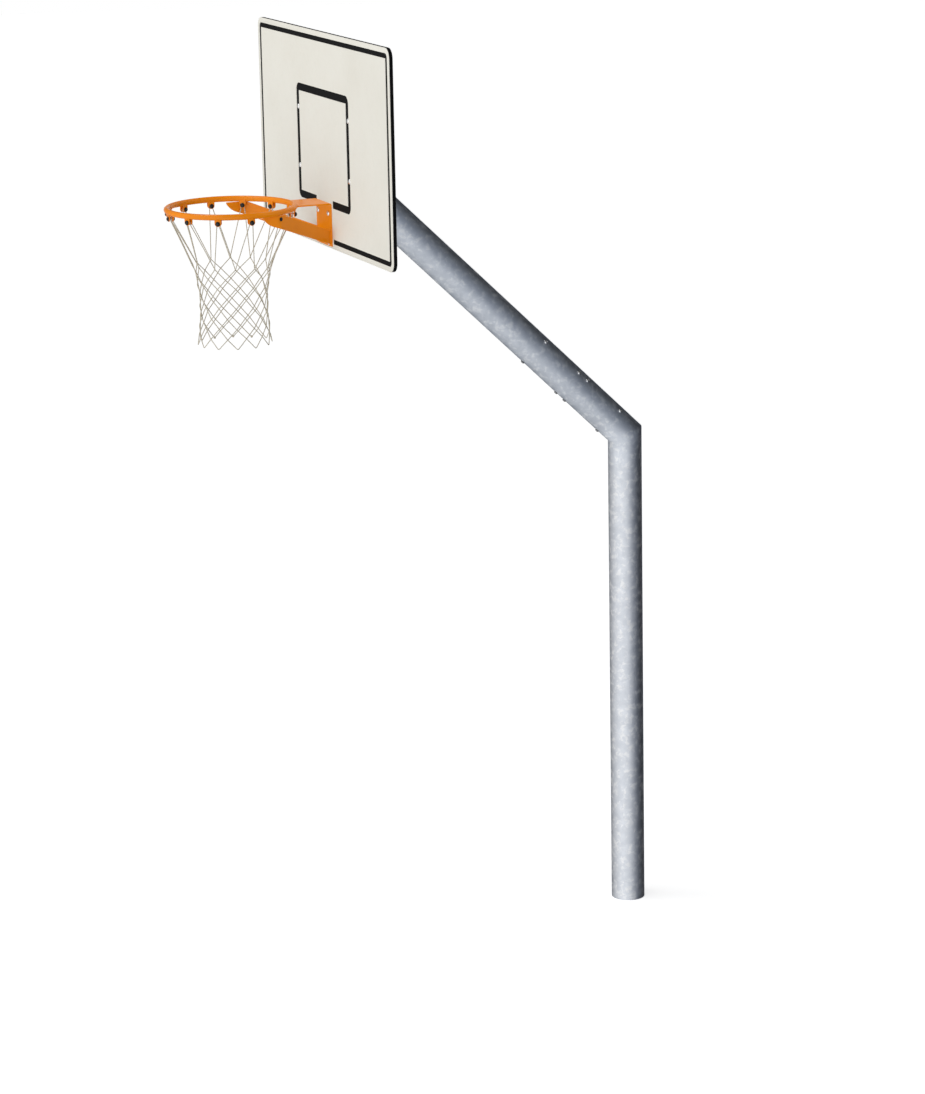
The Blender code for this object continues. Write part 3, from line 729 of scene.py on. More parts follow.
def build_post():
    r_in = TUBE_R - TUBE_WALL
    mitre = (Vector((0, 0, 1)) + ARM).normalized()
    lower = (BEND - mitre * GAP / 2, mitre)
    upper = (BEND + mitre * GAP / 2, mitre)
    seg = 160
    tube("post", (0, 0, 0), (0, 0, 1), TUBE_R, r_in, ((0, 0, 0), (0, 0, 1)), lower, seg, GALV,
         bands=40, grade=1.6, mitre=(BEND, mitre), reach=0.085)
    tube("elbow_stub", BEND, ARM, TUBE_R, r_in, upper,
         (BEND + ARM * (SPLICE_S - GAP / 2), ARM), seg, GALV, edges=(0.0004, 0.00015),
         stations=STATIONS[:2], bands=16, grade=-1.6, mitre=(BEND, mitre), reach=0.125)
    end = Vector((0, BOARD_BACK + GAP + HEAD_T + GAP, 0))
    tube("arm_tube", BEND, ARM, TUBE_R, r_in, (BEND + ARM * (SPLICE_S + GAP / 2), ARM),
         (end, Vector((0, 1, 0))), seg, GALV, edges=(0.00015, 0.0004), stations=STATIONS[2:], bands=30)

    # weld at the mitre, ground flush under the zinc
    ring = []
    for i in range(240):
        t = 2 * pi * i / 240
        e = Vector((cos(t), sin(t), 0)) * TUBE_R
        ring.append(e + Vector((0, 0, 1)) * ((BEND - e).dot(mitre) / mitre.z))

    def out(p):
        e = Vector((p.x, p.y, 0)).normalized()
        return (e - mitre * e.dot(mitre)).normalized()
    bead([p - out(p) * 0.00050 for p in ring], 0.0006, "weld_mitre", GALV, pitch=0.004, closed=True,
         ups=out, swell=0.04)

    k = 0
    for s in STATIONS:
        for deg in SPLICE_ANGLES:
            k += 1
            e = arm_radial(deg)
            bm = bmesh.new()
            turned(bm, BEND + ARM * s + e * TUBE_R, e,
                   button_profile(0.0078, 0.0056, 0.0040, 0.0235, 0.0020, 0.006), 36)
            name = "splice_bolt_%02d" % k
            # the row at 270 degrees faces down; its heads take the darker steel, painted shade
            finish(bm, name, INOX_PAINTED_SHADE if deg == 270.0 else INOX, 32, stands_for=[name])


# ---------------------------------------------------------------- board
def line_outline(x, z0, z1, w, r, n=10):
    b = LINE_BREAK
    out = [(b, z0)]
    out += arc(x - r, z0 + r, r, -90, 0, n)
    out += arc(x - r, z1 - r, r, 0, 90, n)
    out += arc(-x + r, z1 - r, r, 90, 180, n)
    out += arc(-x + r, z0 + r, r, 180, 270, n)
    out += [(-b, z0), (-b, z0 + w), (-x + w, z0 + w), (-x + w, z1 - w),
            (x - w, z1 - w), (x - w, z0 + w), (b, z0 + w)]
    return out


def build_board():
    bm = bmesh.new()
    e = 0.0012
    rows = []
    for dy, inset in ((0.0, e), (e * 0.29, e * 0.29), (e, 0.0), (BOARD_SKIN, 0.0),
                      (BOARD_T - e, 0.0), (BOARD_T - BOARD_REAR_SKIN, e * 0.15),
                      (BOARD_T - e * 0.29, e * 0.29), (BOARD_T, e)):
        o = rounded_rect(-BOARD_W / 2 + inset, BOARD_Z0 + inset, BOARD_W / 2 - inset,
                         BOARD_Z0 + BOARD_H - inset, BOARD_R - inset, 14)
        rows.append(loop_of(bm, [Vector((p[0], BOARD_Y + dy, p[1])) for p in o]))
    skin(bm, rows)
    board = finish(bm, "backboard", [SKIN, CORE], 0, keep=False)
    x = BOARD_W / 2 - BORDER_IN
    for args in ((x, BOARD_Z0 + BORDER_IN, BOARD_Z0 + BOARD_H - BORDER_IN, BORDER_W, BORDER_W),
                 (TARGET_X, TARGET_Z0, TARGET_Z1, TARGET_W, TARGET_W)):
        bm = bmesh.new()
        prism(bm, line_outline(*args), (0, BOARD_Y - 0.004, 0), (1, 0, 0), (0, 0, 1), (0, 1, 0),
              0.004 + LINE_DEPTH)
        boolean(board, tool(bm))
    bm = bmesh.new()
    for sx in (-1, 1):
        for z in BOARD_BOLT_Z:
            turned(bm, (sx * BOARD_BOLT_X, BOARD_Y, z), (0, 1, 0),
                   [(-0.004, CBORE_R), (CBORE_DEPTH, CBORE_R), (CBORE_DEPTH, 0.0055),
                    (BOARD_T + 0.004, 0.0055)], 48)
        for z in RING_BOLT_Z:
            turned(bm, (sx * RING_BOLT_X, BOARD_Y, z), (0, 1, 0),
                   [(-0.004, 0.0055), (BOARD_T + 0.004, 0.0055)], 32)
    boolean(board, tool(bm))
    bm = reopen(board)
    for y in (BOARD_Y + BOARD_SKIN, BOARD_Y + BOARD_T - BOARD_REAR_SKIN):
        bmesh.ops.bisect_plane(bm, geom=bm.verts[:] + bm.edges[:] + bm.faces[:], dist=1e-6,
                               plane_co=(0, y, 0), plane_no=(0, 1, 0))
    # a narrow chamfer where the cutter's edge has left the skin
    bmesh.ops.recalc_face_normals(bm, faces=bm.faces[:])
    sharp = [ed for ed in bm.edges if len(ed.link_faces) == 2
             and all(abs(v.co.y - BOARD_Y) < 1e-6 for v in ed.verts)
             and ed.calc_face_angle(0.0) > radians(60)]
    if sharp:
        bmesh.ops.bevel(bm, geom=sharp, offset=0.0003, segments=1, affect='EDGES', clamp_overlap=True)
    for f in bm.faces:
        c = f.calc_center_median()
        f.material_index = 1 if BOARD_SKIN + 1e-5 < c.y - BOARD_Y < BOARD_T - BOARD_REAR_SKIN - 1e-5 else 0
    reseal(board, bm, 28)
    own(board, ["backboard"])


# ---------------------------------------------------------------- behind the board
def build_head():
    y0 = BOARD_BACK + GAP
    t, ro = HEAD_T, 0.012
    ri = ro - t
    n = 10
    outer = [(-HEAD_X, HEAD_DEPTH)] + arc(-HEAD_X + ro, ro, ro, 180, 270, n) \
        + arc(HEAD_X - ro, ro, ro, 270, 360, n) + [(HEAD_X, HEAD_DEPTH)]
    inner = [(HEAD_X - t, HEAD_DEPTH)] + arc(HEAD_X - ro, ro, ri, 360, 270, n) \
        + arc(-HEAD_X + ro, ro, ri, 270, 180, n) + [(-HEAD_X + t, HEAD_DEPTH)]
    bm = bmesh.new()
    prism(bm, outer + inner, (0, y0, HEAD_Z0), (1, 0, 0), (0, 1, 0), (0, 0, 1), HEAD_Z1 - HEAD_Z0)
    soften(bm, 0.0010, 2, 40)
    head = finish(bm, "head_channel", GALV, 30, keep=False)
    bm = bmesh.new()
    for sx in (-1, 1):
        for z in RING_BOLT_Z:
            turned(bm, (sx * RING_BOLT_X, y0 - 0.004, z), (0, 1, 0),
                   [(0.0, 0.0055), (HEAD_T + 0.008, 0.0055)], 32)
    boolean(head, tool(bm))
    bm = reopen(head)
    reseal(head, bm, 30, True)
    own(head, ["head_channel"])

    web = y0 + HEAD_T + GAP
    half = HEAD_X - HEAD_T - GAP
    for name, z in (("head_rib_upper", 3.2300), ("head_rib_lower", 2.9300)):
        bm = bmesh.new()
        c = 0.012
        prism(bm, [(-half + c, 0.0), (half - c, 0.0), (half, c), (half, 0.0560),
                   (-half, 0.0560), (-half, c)],
              (0, web, z), (1, 0, 0), (0, 1, 0), (0, 0, 1), 0.006)
        soften(bm, 0.0006, 2, 30)
        finish(bm, name, GALV, 30, weighted=True, stands_for=[name])
        up = 1 if name.endswith("upper") else -1
        zz = z + (0.006 if up > 0 else 0.0)
        for side in (-1, 1):
            bead([(side * half, web + 0.014, zz), (side * half, web + 0.054, zz)], 0.0030,
                 "weld_%s_%s" % (name, "left" if side < 0 else "right"), GALV,
                 ups=Vector((-side, 0, up)).normalized(), seed=3 + side)
        bead([(-half + 0.014, web, zz), (half - 0.014, web, zz)], 0.0030,
             "weld_%s_web" % name, GALV, ups=Vector((0, 1, up)).normalized(), seed=5)

    for label, z in (("upper", BOARD_BOLT_Z[1]), ("lower", BOARD_BOLT_Z[0])):
        for side, sx in (("left", -1), ("right", 1)):
            x0, x1 = HEAD_X + GAP, WING_X
            t = WING_T
            section = [(0.0, -WING_H / 2), (t, -WING_H / 2)]
            # rounded root of the angle section
            rr = 0.006
            section += [(t + rr - rr * cos(radians(a)), WING_H / 2 - t - rr + rr * sin(radians(a)))
                        for a in (0, 18, 36, 54, 72, 90)]
            section += [(WING_LEG, WING_H / 2 - t), (WING_LEG, WING_H / 2), (0.0, WING_H / 2)]
            bm = bmesh.new()
            prism(bm, section, (sx * x0, y0, z), (0, 1, 0), (0, 0, 1), (sx, 0, 0), x1 - x0)
            soften(bm, 0.0010, 2, 40)
            name = "wing_%s_%s" % (label, side)
            wing = finish(bm, name, GALV, 30, keep=False)
            bm = bmesh.new()
            turned(bm, (sx * BOARD_BOLT_X, y0 - 0.004, z), (0, 1, 0),
                   [(0.0, 0.0055), (t + 0.008, 0.0055)], 32)
            boolean(wing, tool(bm))
            bm = reopen(wing)
            reseal(wing, bm, 30, True)
            own(wing, [name])
            # welds to the channel's flange, above and below the angle
            xw = sx * x0
            bead([(xw, y0 + 0.006, z + WING_H / 2), (xw, y0 + WING_LEG - 0.002, z + WING_H / 2)], 0.0030,
                 "weld_%s_top" % name, GALV, ups=Vector((sx, 0, 1)).normalized(), seed=7)
            bead([(xw, y0 + WING_T, z - WING_H / 2 + 0.003), (xw, y0 + WING_T, z + WING_H / 2 - 0.016)],
                 0.0030, "weld_%s_web" % name, GALV, ups=Vector((sx, 1, 0)).normalized(), seed=8)

    # weld round the arm's end
    r = TUBE_R
    ring = []
    d, u, v = frame_for(ARM)
    for i in range(200):
        a = 2 * pi * i / 200
        q = BEND + (u * cos(a) + v * sin(a)) * r
        ring.append(q + ARM * ((y0 + HEAD_T - q.y) / ARM.y))

    def out(p):
        rel = p - BEND
        e = rel - ARM * rel.dot(ARM)
        return (e.normalized() + Vector((0, 1.0, 0))).normalized()
    bead(ring, 0.0042, "weld_arm_end", GALV, pitch=0.0034, closed=True, ups=out, seed=11)

    rear = y0 + WING_T + GAP
    front = BOARD_Y - GAP - PLATE_T
    for sx, side in ((-1, "left"), (1, "right")):
        for lz, level in ((0, "lower"), (1, "upper")):
            for kind, x, z, seat, length in (
                    ("board", BOARD_BOLT_X, BOARD_BOLT_Z[lz], BOARD_Y + CBORE_DEPTH, 0.0345),
                    ("ring", RING_BOLT_X, RING_BOLT_Z[lz], front, 0.0415)):
                name = "%s_bolt_%s_%s" % (kind, level, side)
                bm = bmesh.new()
                turned(bm, (sx * x, seat, z), (0, -1, 0),
                       button_profile(0.0099, 0.0056, 0.0050, length, 0.0030, length - 0.024, 0.0015), 48)
                finish(bm, name, INOX, 32, stands_for=[name])
                name = "%s_nut_%s_%s" % (kind, level, side)
                bm = bmesh.new()
                flange_nut(bm, (sx * x, rear, z), (0, 1, 0), 0.0080, 0.0053, 0.0105)
                finish(bm, name, INOX, 32, stands_for=[name])


def flange_nut(bm, base, axis, r_flat, r_hole, r_flange, seg=72):
    a, u, v = frame_for(axis)
    base = Vector(base)
    h = r_flat * 1.15
    rows = [(0.0008, 'r', r_hole), (0.0, 'r', r_hole + 0.0006), (0.0, 'r', r_flange - 0.0002),
            (0.0002, 'r', r_flange), (0.0009, 'r', r_flange), (0.0013, 'r', r_flange - 0.0004),
            (0.0022, 'h', 1.01), (0.0026, 'h', 1.0), (h - 0.0010, 'h', 1.0), (h - 0.0004, 'c', 0.9),
            (h, 'c', 0.6), (h, 'r', r_hole + 0.0006), (h - 0.0006, 'r', r_hole)]
    loops = []
    rc = r_flat * 1.06
    for d, kind, val in rows:
        pts = []
        for i in range(seg):
            t = 2 * pi * i / seg
            hx = hex_radius(t, r_flat)
            if kind == 'r':
                r = val
            elif kind == 'h':
                r = hx * val
            else:
                r = min(hx, rc - (1 - val) * 0.0010)
            pts.append(base + a * d + (u * cos(t) + v * sin(t)) * r)
        loops.append(loop_of(bm, pts))
    skin(bm, loops, wrap=True)


# ---------------------------------------------------------------- ring
def lug_tab(bm, deg, r0, r1, top, n=18, edge=0.0005):
    """A flat tab with a round lower end and a bolt hole, its edges eased."""
    e = Vector((cos(radians(deg)), sin(radians(deg)), 0))
    t = Vector((-e.y, e.x, 0))
    w = LUG_W / 2
    drop = -0.0220
    hole = 0.0045

    def outline(inset):
        ww = w - inset
        tp = top - inset
        pts = [(ww * k / 4, tp) for k in range(0, -4, -1)] + [(-ww, tp)]
        pts += [(-ww, tp + (drop - tp) * k / 4) for k in range(1, 4)]
        pts += arc(0, drop, ww, 180, 360, n)
        pts += [(ww, tp + (drop - tp) * k / 4) for k in range(3, 0, -1)] + [(ww, tp)]
        pts += [(ww * k / 4, tp) for k in range(3, 0, -1)]
        return pts
    base = outline(0.0)
    ang = [atan2(p[1] + LUG_AXIS, p[0]) for p in base]
    ring = [(hole * cos(a), -LUG_AXIS + hole * sin(a)) for a in ang]
    o = RING_O
    rows = []
    for r, pts in ((r0, ring), (r0, outline(edge)), (r0 + edge, outline(0.0)), (r1 - edge, outline(0.0)),
                   (r1, outline(edge)), (r1, ring)):
        rows.append(loop_of(bm, [o + e * r + t * p[0] + Vector((0, 0, p[1])) for p in pts]))
    skin(bm, rows, wrap=True)


def bead_shape(bm, a, b, radius, up, pitch=0.0024, seg=10, seed=1, swell=0.12):
    """One straight weld bead added to a bmesh."""
    rnd = random.Random(seed)
    a, b = Vector(a), Vector(b)
    t = (b - a).normalized()
    side = t.cross(Vector(up)).normalized()
    up = side.cross(t).normalized()
    length = (b - a).length
    n = max(8, int(length / pitch * 3))
    loops = []
    for i in range(n + 1):
        s = length * i / n
        ph = s / pitch
        scale = 1.0 + swell * (0.5 - ph % 1.0) + rnd.uniform(-0.02, 0.02)
        e = min(s, length - s) / (radius * 1.3)
        scale *= sqrt(max(0.03, 1 - (1 - min(1.0, e)) ** 2))
        loops.append(loop_of(bm, [a + t * s + side * (cos(2 * pi * q / seg) * radius * scale)
                                  + up * (sin(2 * pi * q / seg) * radius * scale) for q in range(seg)]))
    skin(bm, loops)


def build_ring():
    seg, sides = 216, 32
    bm = bmesh.new()
    ring_solid(bm, (0, RING_Y, RING_Z), (0, 0, 1),
               [(RING_TUBE_R * sin(2 * pi * i / sides), RING_RC + RING_TUBE_R * cos(2 * pi * i / sides))
                for i in range(sides)], seg, 0.37)
    rim = finish(bm, "rim_ring", ORANGE, 60, keep=False)
    plain = volume(rim)
    bm = bmesh.new()
    for i in range(LUG_COUNT):
        deg = 360.0 / LUG_COUNT * i
        lug_tab(bm, deg, LUG_IN, LUG_IN + LUG_T, LUG_TOP_IN)
        if i not in BRACE_LUGS:
            lug_tab(bm, deg, LUG_OUT - LUG_T, LUG_OUT, LUG_TOP_OUT)
    boolean(rim, tool(bm), 'UNION')
    bm = bmesh.new()
    for i in range(LUG_COUNT):
        a = radians(360.0 / LUG_COUNT * i)
        e = Vector((cos(a), sin(a), 0))
        t = Vector((-e.y, e.x, 0))
        rows = [(LUG_IN + LUG_T, -0.0064, -1)]
        if i not in BRACE_LUGS:
            rows += [(LUG_OUT - LUG_T, -0.0106, 1), (LUG_OUT, -0.0093, -1)]
        for r, z, s in rows:
            c = RING_O + e * r + Vector((0, 0, z))
            bead_shape(bm, c - t * 0.0108, c + t * 0.0108, 0.0017, e * -s + Vector((0, 0, -1)), seed=i * 3 + 2)
    boolean(rim, tool(bm), 'UNION')
    bm = reopen(rim)
    tidy(bm)
    reseal(rim, bm, 45)
    if volume(rim) < plain:
        raise RuntimeError("the ring's union has lost its tube")
    own(rim, ["rim_ring"])

    # bracket plate, folded, its flat leg hollowed to the ring
    back = BOARD_Y - GAP
    t, ro = PLATE_T, 0.0085
    ri = ro - t
    n = 12
    section = [(0.0, PLATE_Z0)]
    section += [(ro - ro * cos(radians(90 * i / n)), PLATE_Z1 - ro + ro * sin(radians(90 * i / n)))
                for i in range(n + 1)]
    under = [(ro - ri * cos(radians(90 * i / n)), PLATE_Z1 - ro + ri * sin(radians(90 * i / n)))
             for i in range(n, -1, -1)]
    under += [(t, PLATE_Z0)]
    front = 0.165
    outline = section + [(front, PLATE_Z1), (front, PLATE_Z1 - t)] + under
    bm = bmesh.new()
    prism(bm, outline, (-PLATE_X, back, 0), (0, -1, 0), (0, 0, 1), (1, 0, 0), 2 * PLATE_X)
    plate = finish(bm, "bracket_plate", ORANGE, 30, keep=False)
    bm = bmesh.new()
    r = RING_RC + RING_TUBE_R + GAP
    turned(bm, (0, RING_Y, PLATE_Z1 - t - 0.010), (0, 0, 1), [(0.0, r), (t + 0.020, r)], 720)
    boolean(plate, tool(bm))
    bm = bmesh.new()
    for sx in (-1, 1):
        for z in RING_BOLT_Z:
            turned(bm, (sx * RING_BOLT_X, back + 0.004, z), (0, -1, 0),
                   [(0.0, 0.0055), (t + 0.008, 0.0055)], 32)
    boolean(plate, tool(bm))
    bm = reopen(plate)
    tidy(bm)
    soften(bm, 0.0006, 2, 40)
    reseal(plate, bm, 30, True)
    # the front of the upright leg takes a less glossy copy of the coat, painted shade under the flat leg
    plate.data.materials.append(ORANGE_PAINTED_SHADE)
    for f in plate.data.polygons:
        if f.normal.y < -0.95 and f.center.z < PLATE_Z1 - ro:
            f.material_index = 1
    own(plate, ["bracket_plate"])
    plate.visible_diffuse = False

    # seam between the flat leg and the ring, above and below
    a1 = asin(PLATE_X / (RING_RC + RING_TUBE_R)) * 0.97
    rw = RING_RC + RING_TUBE_R

    def along(z, rr):
        return [(rr * sin(-a1 + 2 * a1 * i / 60), RING_Y + rr * cos(-a1 + 2 * a1 * i / 60), z)
                for i in range(61)]

    def away(p):
        return (Vector((p.x, p.y - RING_Y, 0)).normalized() * 0.6 + Vector((0, 0, 1))).normalized()

    def below(p):
        return (Vector((p.x, p.y - RING_Y, 0)).normalized() * 0.6 - Vector((0, 0, 1))).normalized()
    bead(along(PLATE_Z1 - 0.0004, rw - 0.0004), 0.0019, "weld_plate_upper", ORANGE, ups=away, flat=0.8, seed=21)
    bead(along(PLATE_Z1 - PLATE_T - 0.0002, rw - 0.0006), 0.0026, "weld_plate_lower", ORANGE, ups=below, seed=22)

    build_braces()


def build_braces():
    z_top = RING_Z - RING_TUBE_R - GAP
    z_low = RING_Z - 0.0591
    y_end = BOARD_Y - GAP - PLATE_T - GAP
    s_top = (RING_Z - 0.0066 - z_top) / BRACE_SLOPE
    h = BRACE_T / 2
    for side, sx in (("left", -1), ("right", 1)):
        n = Vector((cos(radians(30)), sin(radians(30)), 0))
        tv = Vector((-n.y, n.x, 0))
        f_mid = Vector((0, RING_Y, 0)) + n * BRACE_R
        nf = Vector((1, 0, 0))
        bis = (n + nf).normalized()
        off = h / bis.dot(n)
        stations = []
        s_end_o = (y_end - RING_Y - n.y * (BRACE_R + h)) / tv.y
        s_end_i = (y_end - RING_Y - n.y * (BRACE_R - h)) / tv.y

        def rear(s_o, s_i):
            o = Vector((0, RING_Y, 0)) + n * (BRACE_R + h) + tv * s_o
            i = Vector((0, RING_Y, 0)) + n * (BRACE_R - h) + tv * s_i
            s = (s_o + s_i) / 2
            return (o, i, min(z_top, RING_Z - 0.0066 - BRACE_SLOPE * s), z_low - BRACE_SLOPE * s)

        s_mid = s_top + 0.5 * (min(s_end_o, s_end_i) - s_top)
        stations.append(rear(s_end_o, s_end_i))
        stations.append(rear(s_mid, s_mid))
        stations.append(rear(s_top, s_top))
        # the fold, turned over a short arc between the two straight runs
        cut = 0.007
        p_rear = rear(cut, cut)
        p_front = (f_mid + Vector((0, -cut, 0)) + nf * h, f_mid + Vector((0, -cut, 0)) - nf * h,
                   z_top, z_low + BRACE_SLOPE * cut)
        mid_o, mid_i = f_mid + bis * off, f_mid - bis * off
        stations.append(p_rear)
        for i in range(1, 6):
            k = i / 6.0
            w0, w1, w2 = (1 - k) ** 2, 2 * k * (1 - k), k * k
            o = p_rear[0] * w0 + mid_o * w1 + p_front[0] * w2
            ii = p_rear[1] * w0 + mid_i * w1 + p_front[1] * w2
            zt = z_top
            zb = p_rear[3] * w0 + z_low * w1 + p_front[3] * w2
            stations.append((o, ii, zt, zb))
        stations.append(p_front)
        t0 = 0.028
        nn = hypot(1.0, BRACE_SLOPE)
        uc = t0 - BRACE_ARC_R * BRACE_SLOPE / nn
        zc = z_low + BRACE_SLOPE * t0 + BRACE_ARC_R / nn
        a0 = atan2(t0 - uc, zc - (z_low + BRACE_SLOPE * t0))
        a1 = asin(min(1.0, (BRACE_TIP - uc) / BRACE_ARC_R))
        us = [t0 / 2] + [uc + BRACE_ARC_R * sin(a0 + (a1 - a0) * i / 20) for i in range(21)]
        for u in us:
            if u <= t0:
                zb = z_low + BRACE_SLOPE * u
            else:
                zb = zc - sqrt(max(0.0, BRACE_ARC_R ** 2 - (u - uc) ** 2))
            p = f_mid + Vector((0, -u, 0))
            stations.append((p + nf * h, p - nf * h, z_top, min(zb, z_top - 0.002)))
        bm = bmesh.new()
        loops = []
        for o, i, top, bot in stations:
            loops.append(loop_of(bm, [Vector((sx * o.x, o.y, top)), Vector((sx * o.x, o.y, bot)),
                                      Vector((sx * i.x, i.y, bot)), Vector((sx * i.x, i.y, top))]))
        skin(bm, loops)
        soften(bm, 0.0006, 2, 50)
        brace = finish(bm, "brace_" + side, ORANGE, 25, keep=False)
        bm = bmesh.new()
        e = Vector((sx * n.x, n.y, 0))
        turned(bm, RING_O - Vector((0, 0, LUG_AXIS)) + e * (BRACE_R - 0.010), e,
               [(0.0, 0.0045), (0.020, 0.0045)], 32)
        boolean(brace, tool(bm))
        bm = reopen(brace)
        reseal(brace, bm, 25, True)
        own(brace, ["brace_" + side])

        # seams: along the ring above the brace, and up the rear end
        def at(s, r, z):
            q = Vector((0, RING_Y, 0)) + n * r + tv * s
            return (sx * q.x, q.y, z)
        bead([at(-0.002, BRACE_R + h, z_top + 0.0002), at(0.016, BRACE_R + h, z_top + 0.0002)],
             0.0018, "weld_brace_%s_ring" % side, ORANGE,
             ups=Vector((sx * n.x, n.y, 0.6)).normalized(), seed=31)
        ru = min(z_top, RING_Z - 0.0066 - BRACE_SLOPE * s_end_o)
        q0 = at(s_end_o, BRACE_R + h, z_low - BRACE_SLOPE * s_end_o + 0.004)
        q1 = at(s_end_o, BRACE_R + h, ru - 0.004)
        bead([q0, q1], 0.0020, "weld_brace_%s_plate" % side, ORANGE,
             ups=Vector((sx * 1.0, -0.8, 0)).normalized(), seed=32)


def cap_rows(r, h, n=12):
    """Rows of a domed cap with a narrow collar at its foot."""
    rows = [(0.0, r - 0.0002), (0.0002, r), (0.0012, r), (0.0014, r - 0.0003), (0.0015, r - 0.0007)]
    for k in range(1, n + 1):
        a = pi / 2 * k / n
        rows.append((0.0015 + (h - 0.0015) * sin(a), (r - 0.0007) * cos(a) if k < n else 0.0))
    return rows


def build_net_bolts():
    for i in range(LUG_COUNT):
        t = 2 * pi * i / LUG_COUNT
        r_out = BRACE_R + BRACE_T / 2 if i in BRACE_LUGS else LUG_OUT
        e = Vector((cos(t), sin(t), 0))
        lo, hi = LUG_IN - GAP, r_out + GAP
        dome = cap_rows(LUG_CAP_R, LUG_CAP_H)
        prof = [(lo - d, r) for d, r in reversed(dome)] + [(lo, LUG_BOLT_R), (hi, LUG_BOLT_R)]
        prof += [(hi + d, r) for d, r in (cap_rows(LUG_END_R, LUG_END_H) if i in BRACE_LUGS else dome)]
        mats = [0] * (len(prof) - 1)
        mats[len(dome)] = 1
        bm = bmesh.new()
        turned(bm, RING_O - Vector((0, 0, LUG_AXIS)), e, prof, 36, mats)
        name = "net_bolt_%02d" % (i + 1)
        finish(bm, name, [CAP, INOX], 40, stands_for=[name])


# ---------------------------------------------------------------- net
NET_TABLE = ((-0.0235, 0.233), (-0.10, 0.199), (-0.209, 0.148), (-0.27, 0.133), (-0.32, 0.127),
             (-0.37, 0.1255), (-0.42, 0.128), (-0.47, 0.1335), (-0.509, 0.139))
NET_Z0, NET_DZ, NET_ROWS = -0.209, -0.0375, 8
CORD_R = 0.0018


def net_radius(dz):
    for (z0, r0), (z1, r1) in zip(NET_TABLE, NET_TABLE[1:]):
        if dz >= z1:
            return r0 + (r1 - r0) * (dz - z0) / (z1 - z0)
    return NET_TABLE[-1][1]


def net_point(deg, dz, off=0.0):
    r = net_radius(dz) + off
    a = radians(deg)
    return RING_O + Vector((r * cos(a), r * sin(a), dz))


def relax(pts, times):
    """Round a polyline's corners, its ends held."""
    for _ in range(times):
        pts = [pts[0]] + [pts[i] * 0.5 + (pts[i - 1] + pts[i + 1]) * 0.25
                          for i in range(1, len(pts) - 1)] + [pts[-1]]
    return pts


def dense(pts, step):
    out = [pts[0]]
    for a, b in zip(pts, pts[1:]):
        n = max(1, int(round((b - a).length / step)))
        out += [a.lerp(b, (i + 1) / n) for i in range(n)]
    return out


def resample(pts, step):
    cum = [0.0]
    for a, b in zip(pts, pts[1:]):
        cum.append(cum[-1] + (b - a).length)
    n = max(3, int(round(cum[-1] / step)))
    out, j = [], 0
    for i in range(n + 1):
        s = cum[-1] * i / n
        while j < len(cum) - 2 and cum[j + 1] < s:
            j += 1
        out.append(pts[j].lerp(pts[j + 1], (s - cum[j]) / max(cum[j + 1] - cum[j], 1e-9)))
    return out, cum[-1]


def twine(bm, pts, radius, step=0.0016, pitch=0.0150, phase=0.0):
    """A three-strand twisted cord along a polyline; gives its length."""
    pts, total = resample(pts, step)
    sec = 12
    t_prev = (pts[1] - pts[0]).normalized()
    _, u, v = frame_for(t_prev)
    loops = []
    m = len(pts)
    for i, p in enumerate(pts):
        t = (pts[min(i + 1, m - 1)] - pts[max(i - 1, 0)]).normalized()
        ax = t_prev.cross(t)
        if ax.length > 1e-9:
            rot = Matrix.Rotation(t_prev.angle(t), 3, ax.normalized())
            u = rot @ u
        u = (u - t * u.dot(t)).normalized()
        v = t.cross(u)
        t_prev = t
        w = phase + 2 * pi * (total * i / (m - 1)) / pitch
        lp = []
        for q in range(sec):
            a = 2 * pi * q / sec
            r = radius * (0.80 + 0.24 * abs(cos(1.5 * a)))
            lp.append(p + (u * cos(a + w) + v * sin(a + w)) * r)
        loops.append(loop_of(bm, lp))
    skin(bm, loops)
    return total


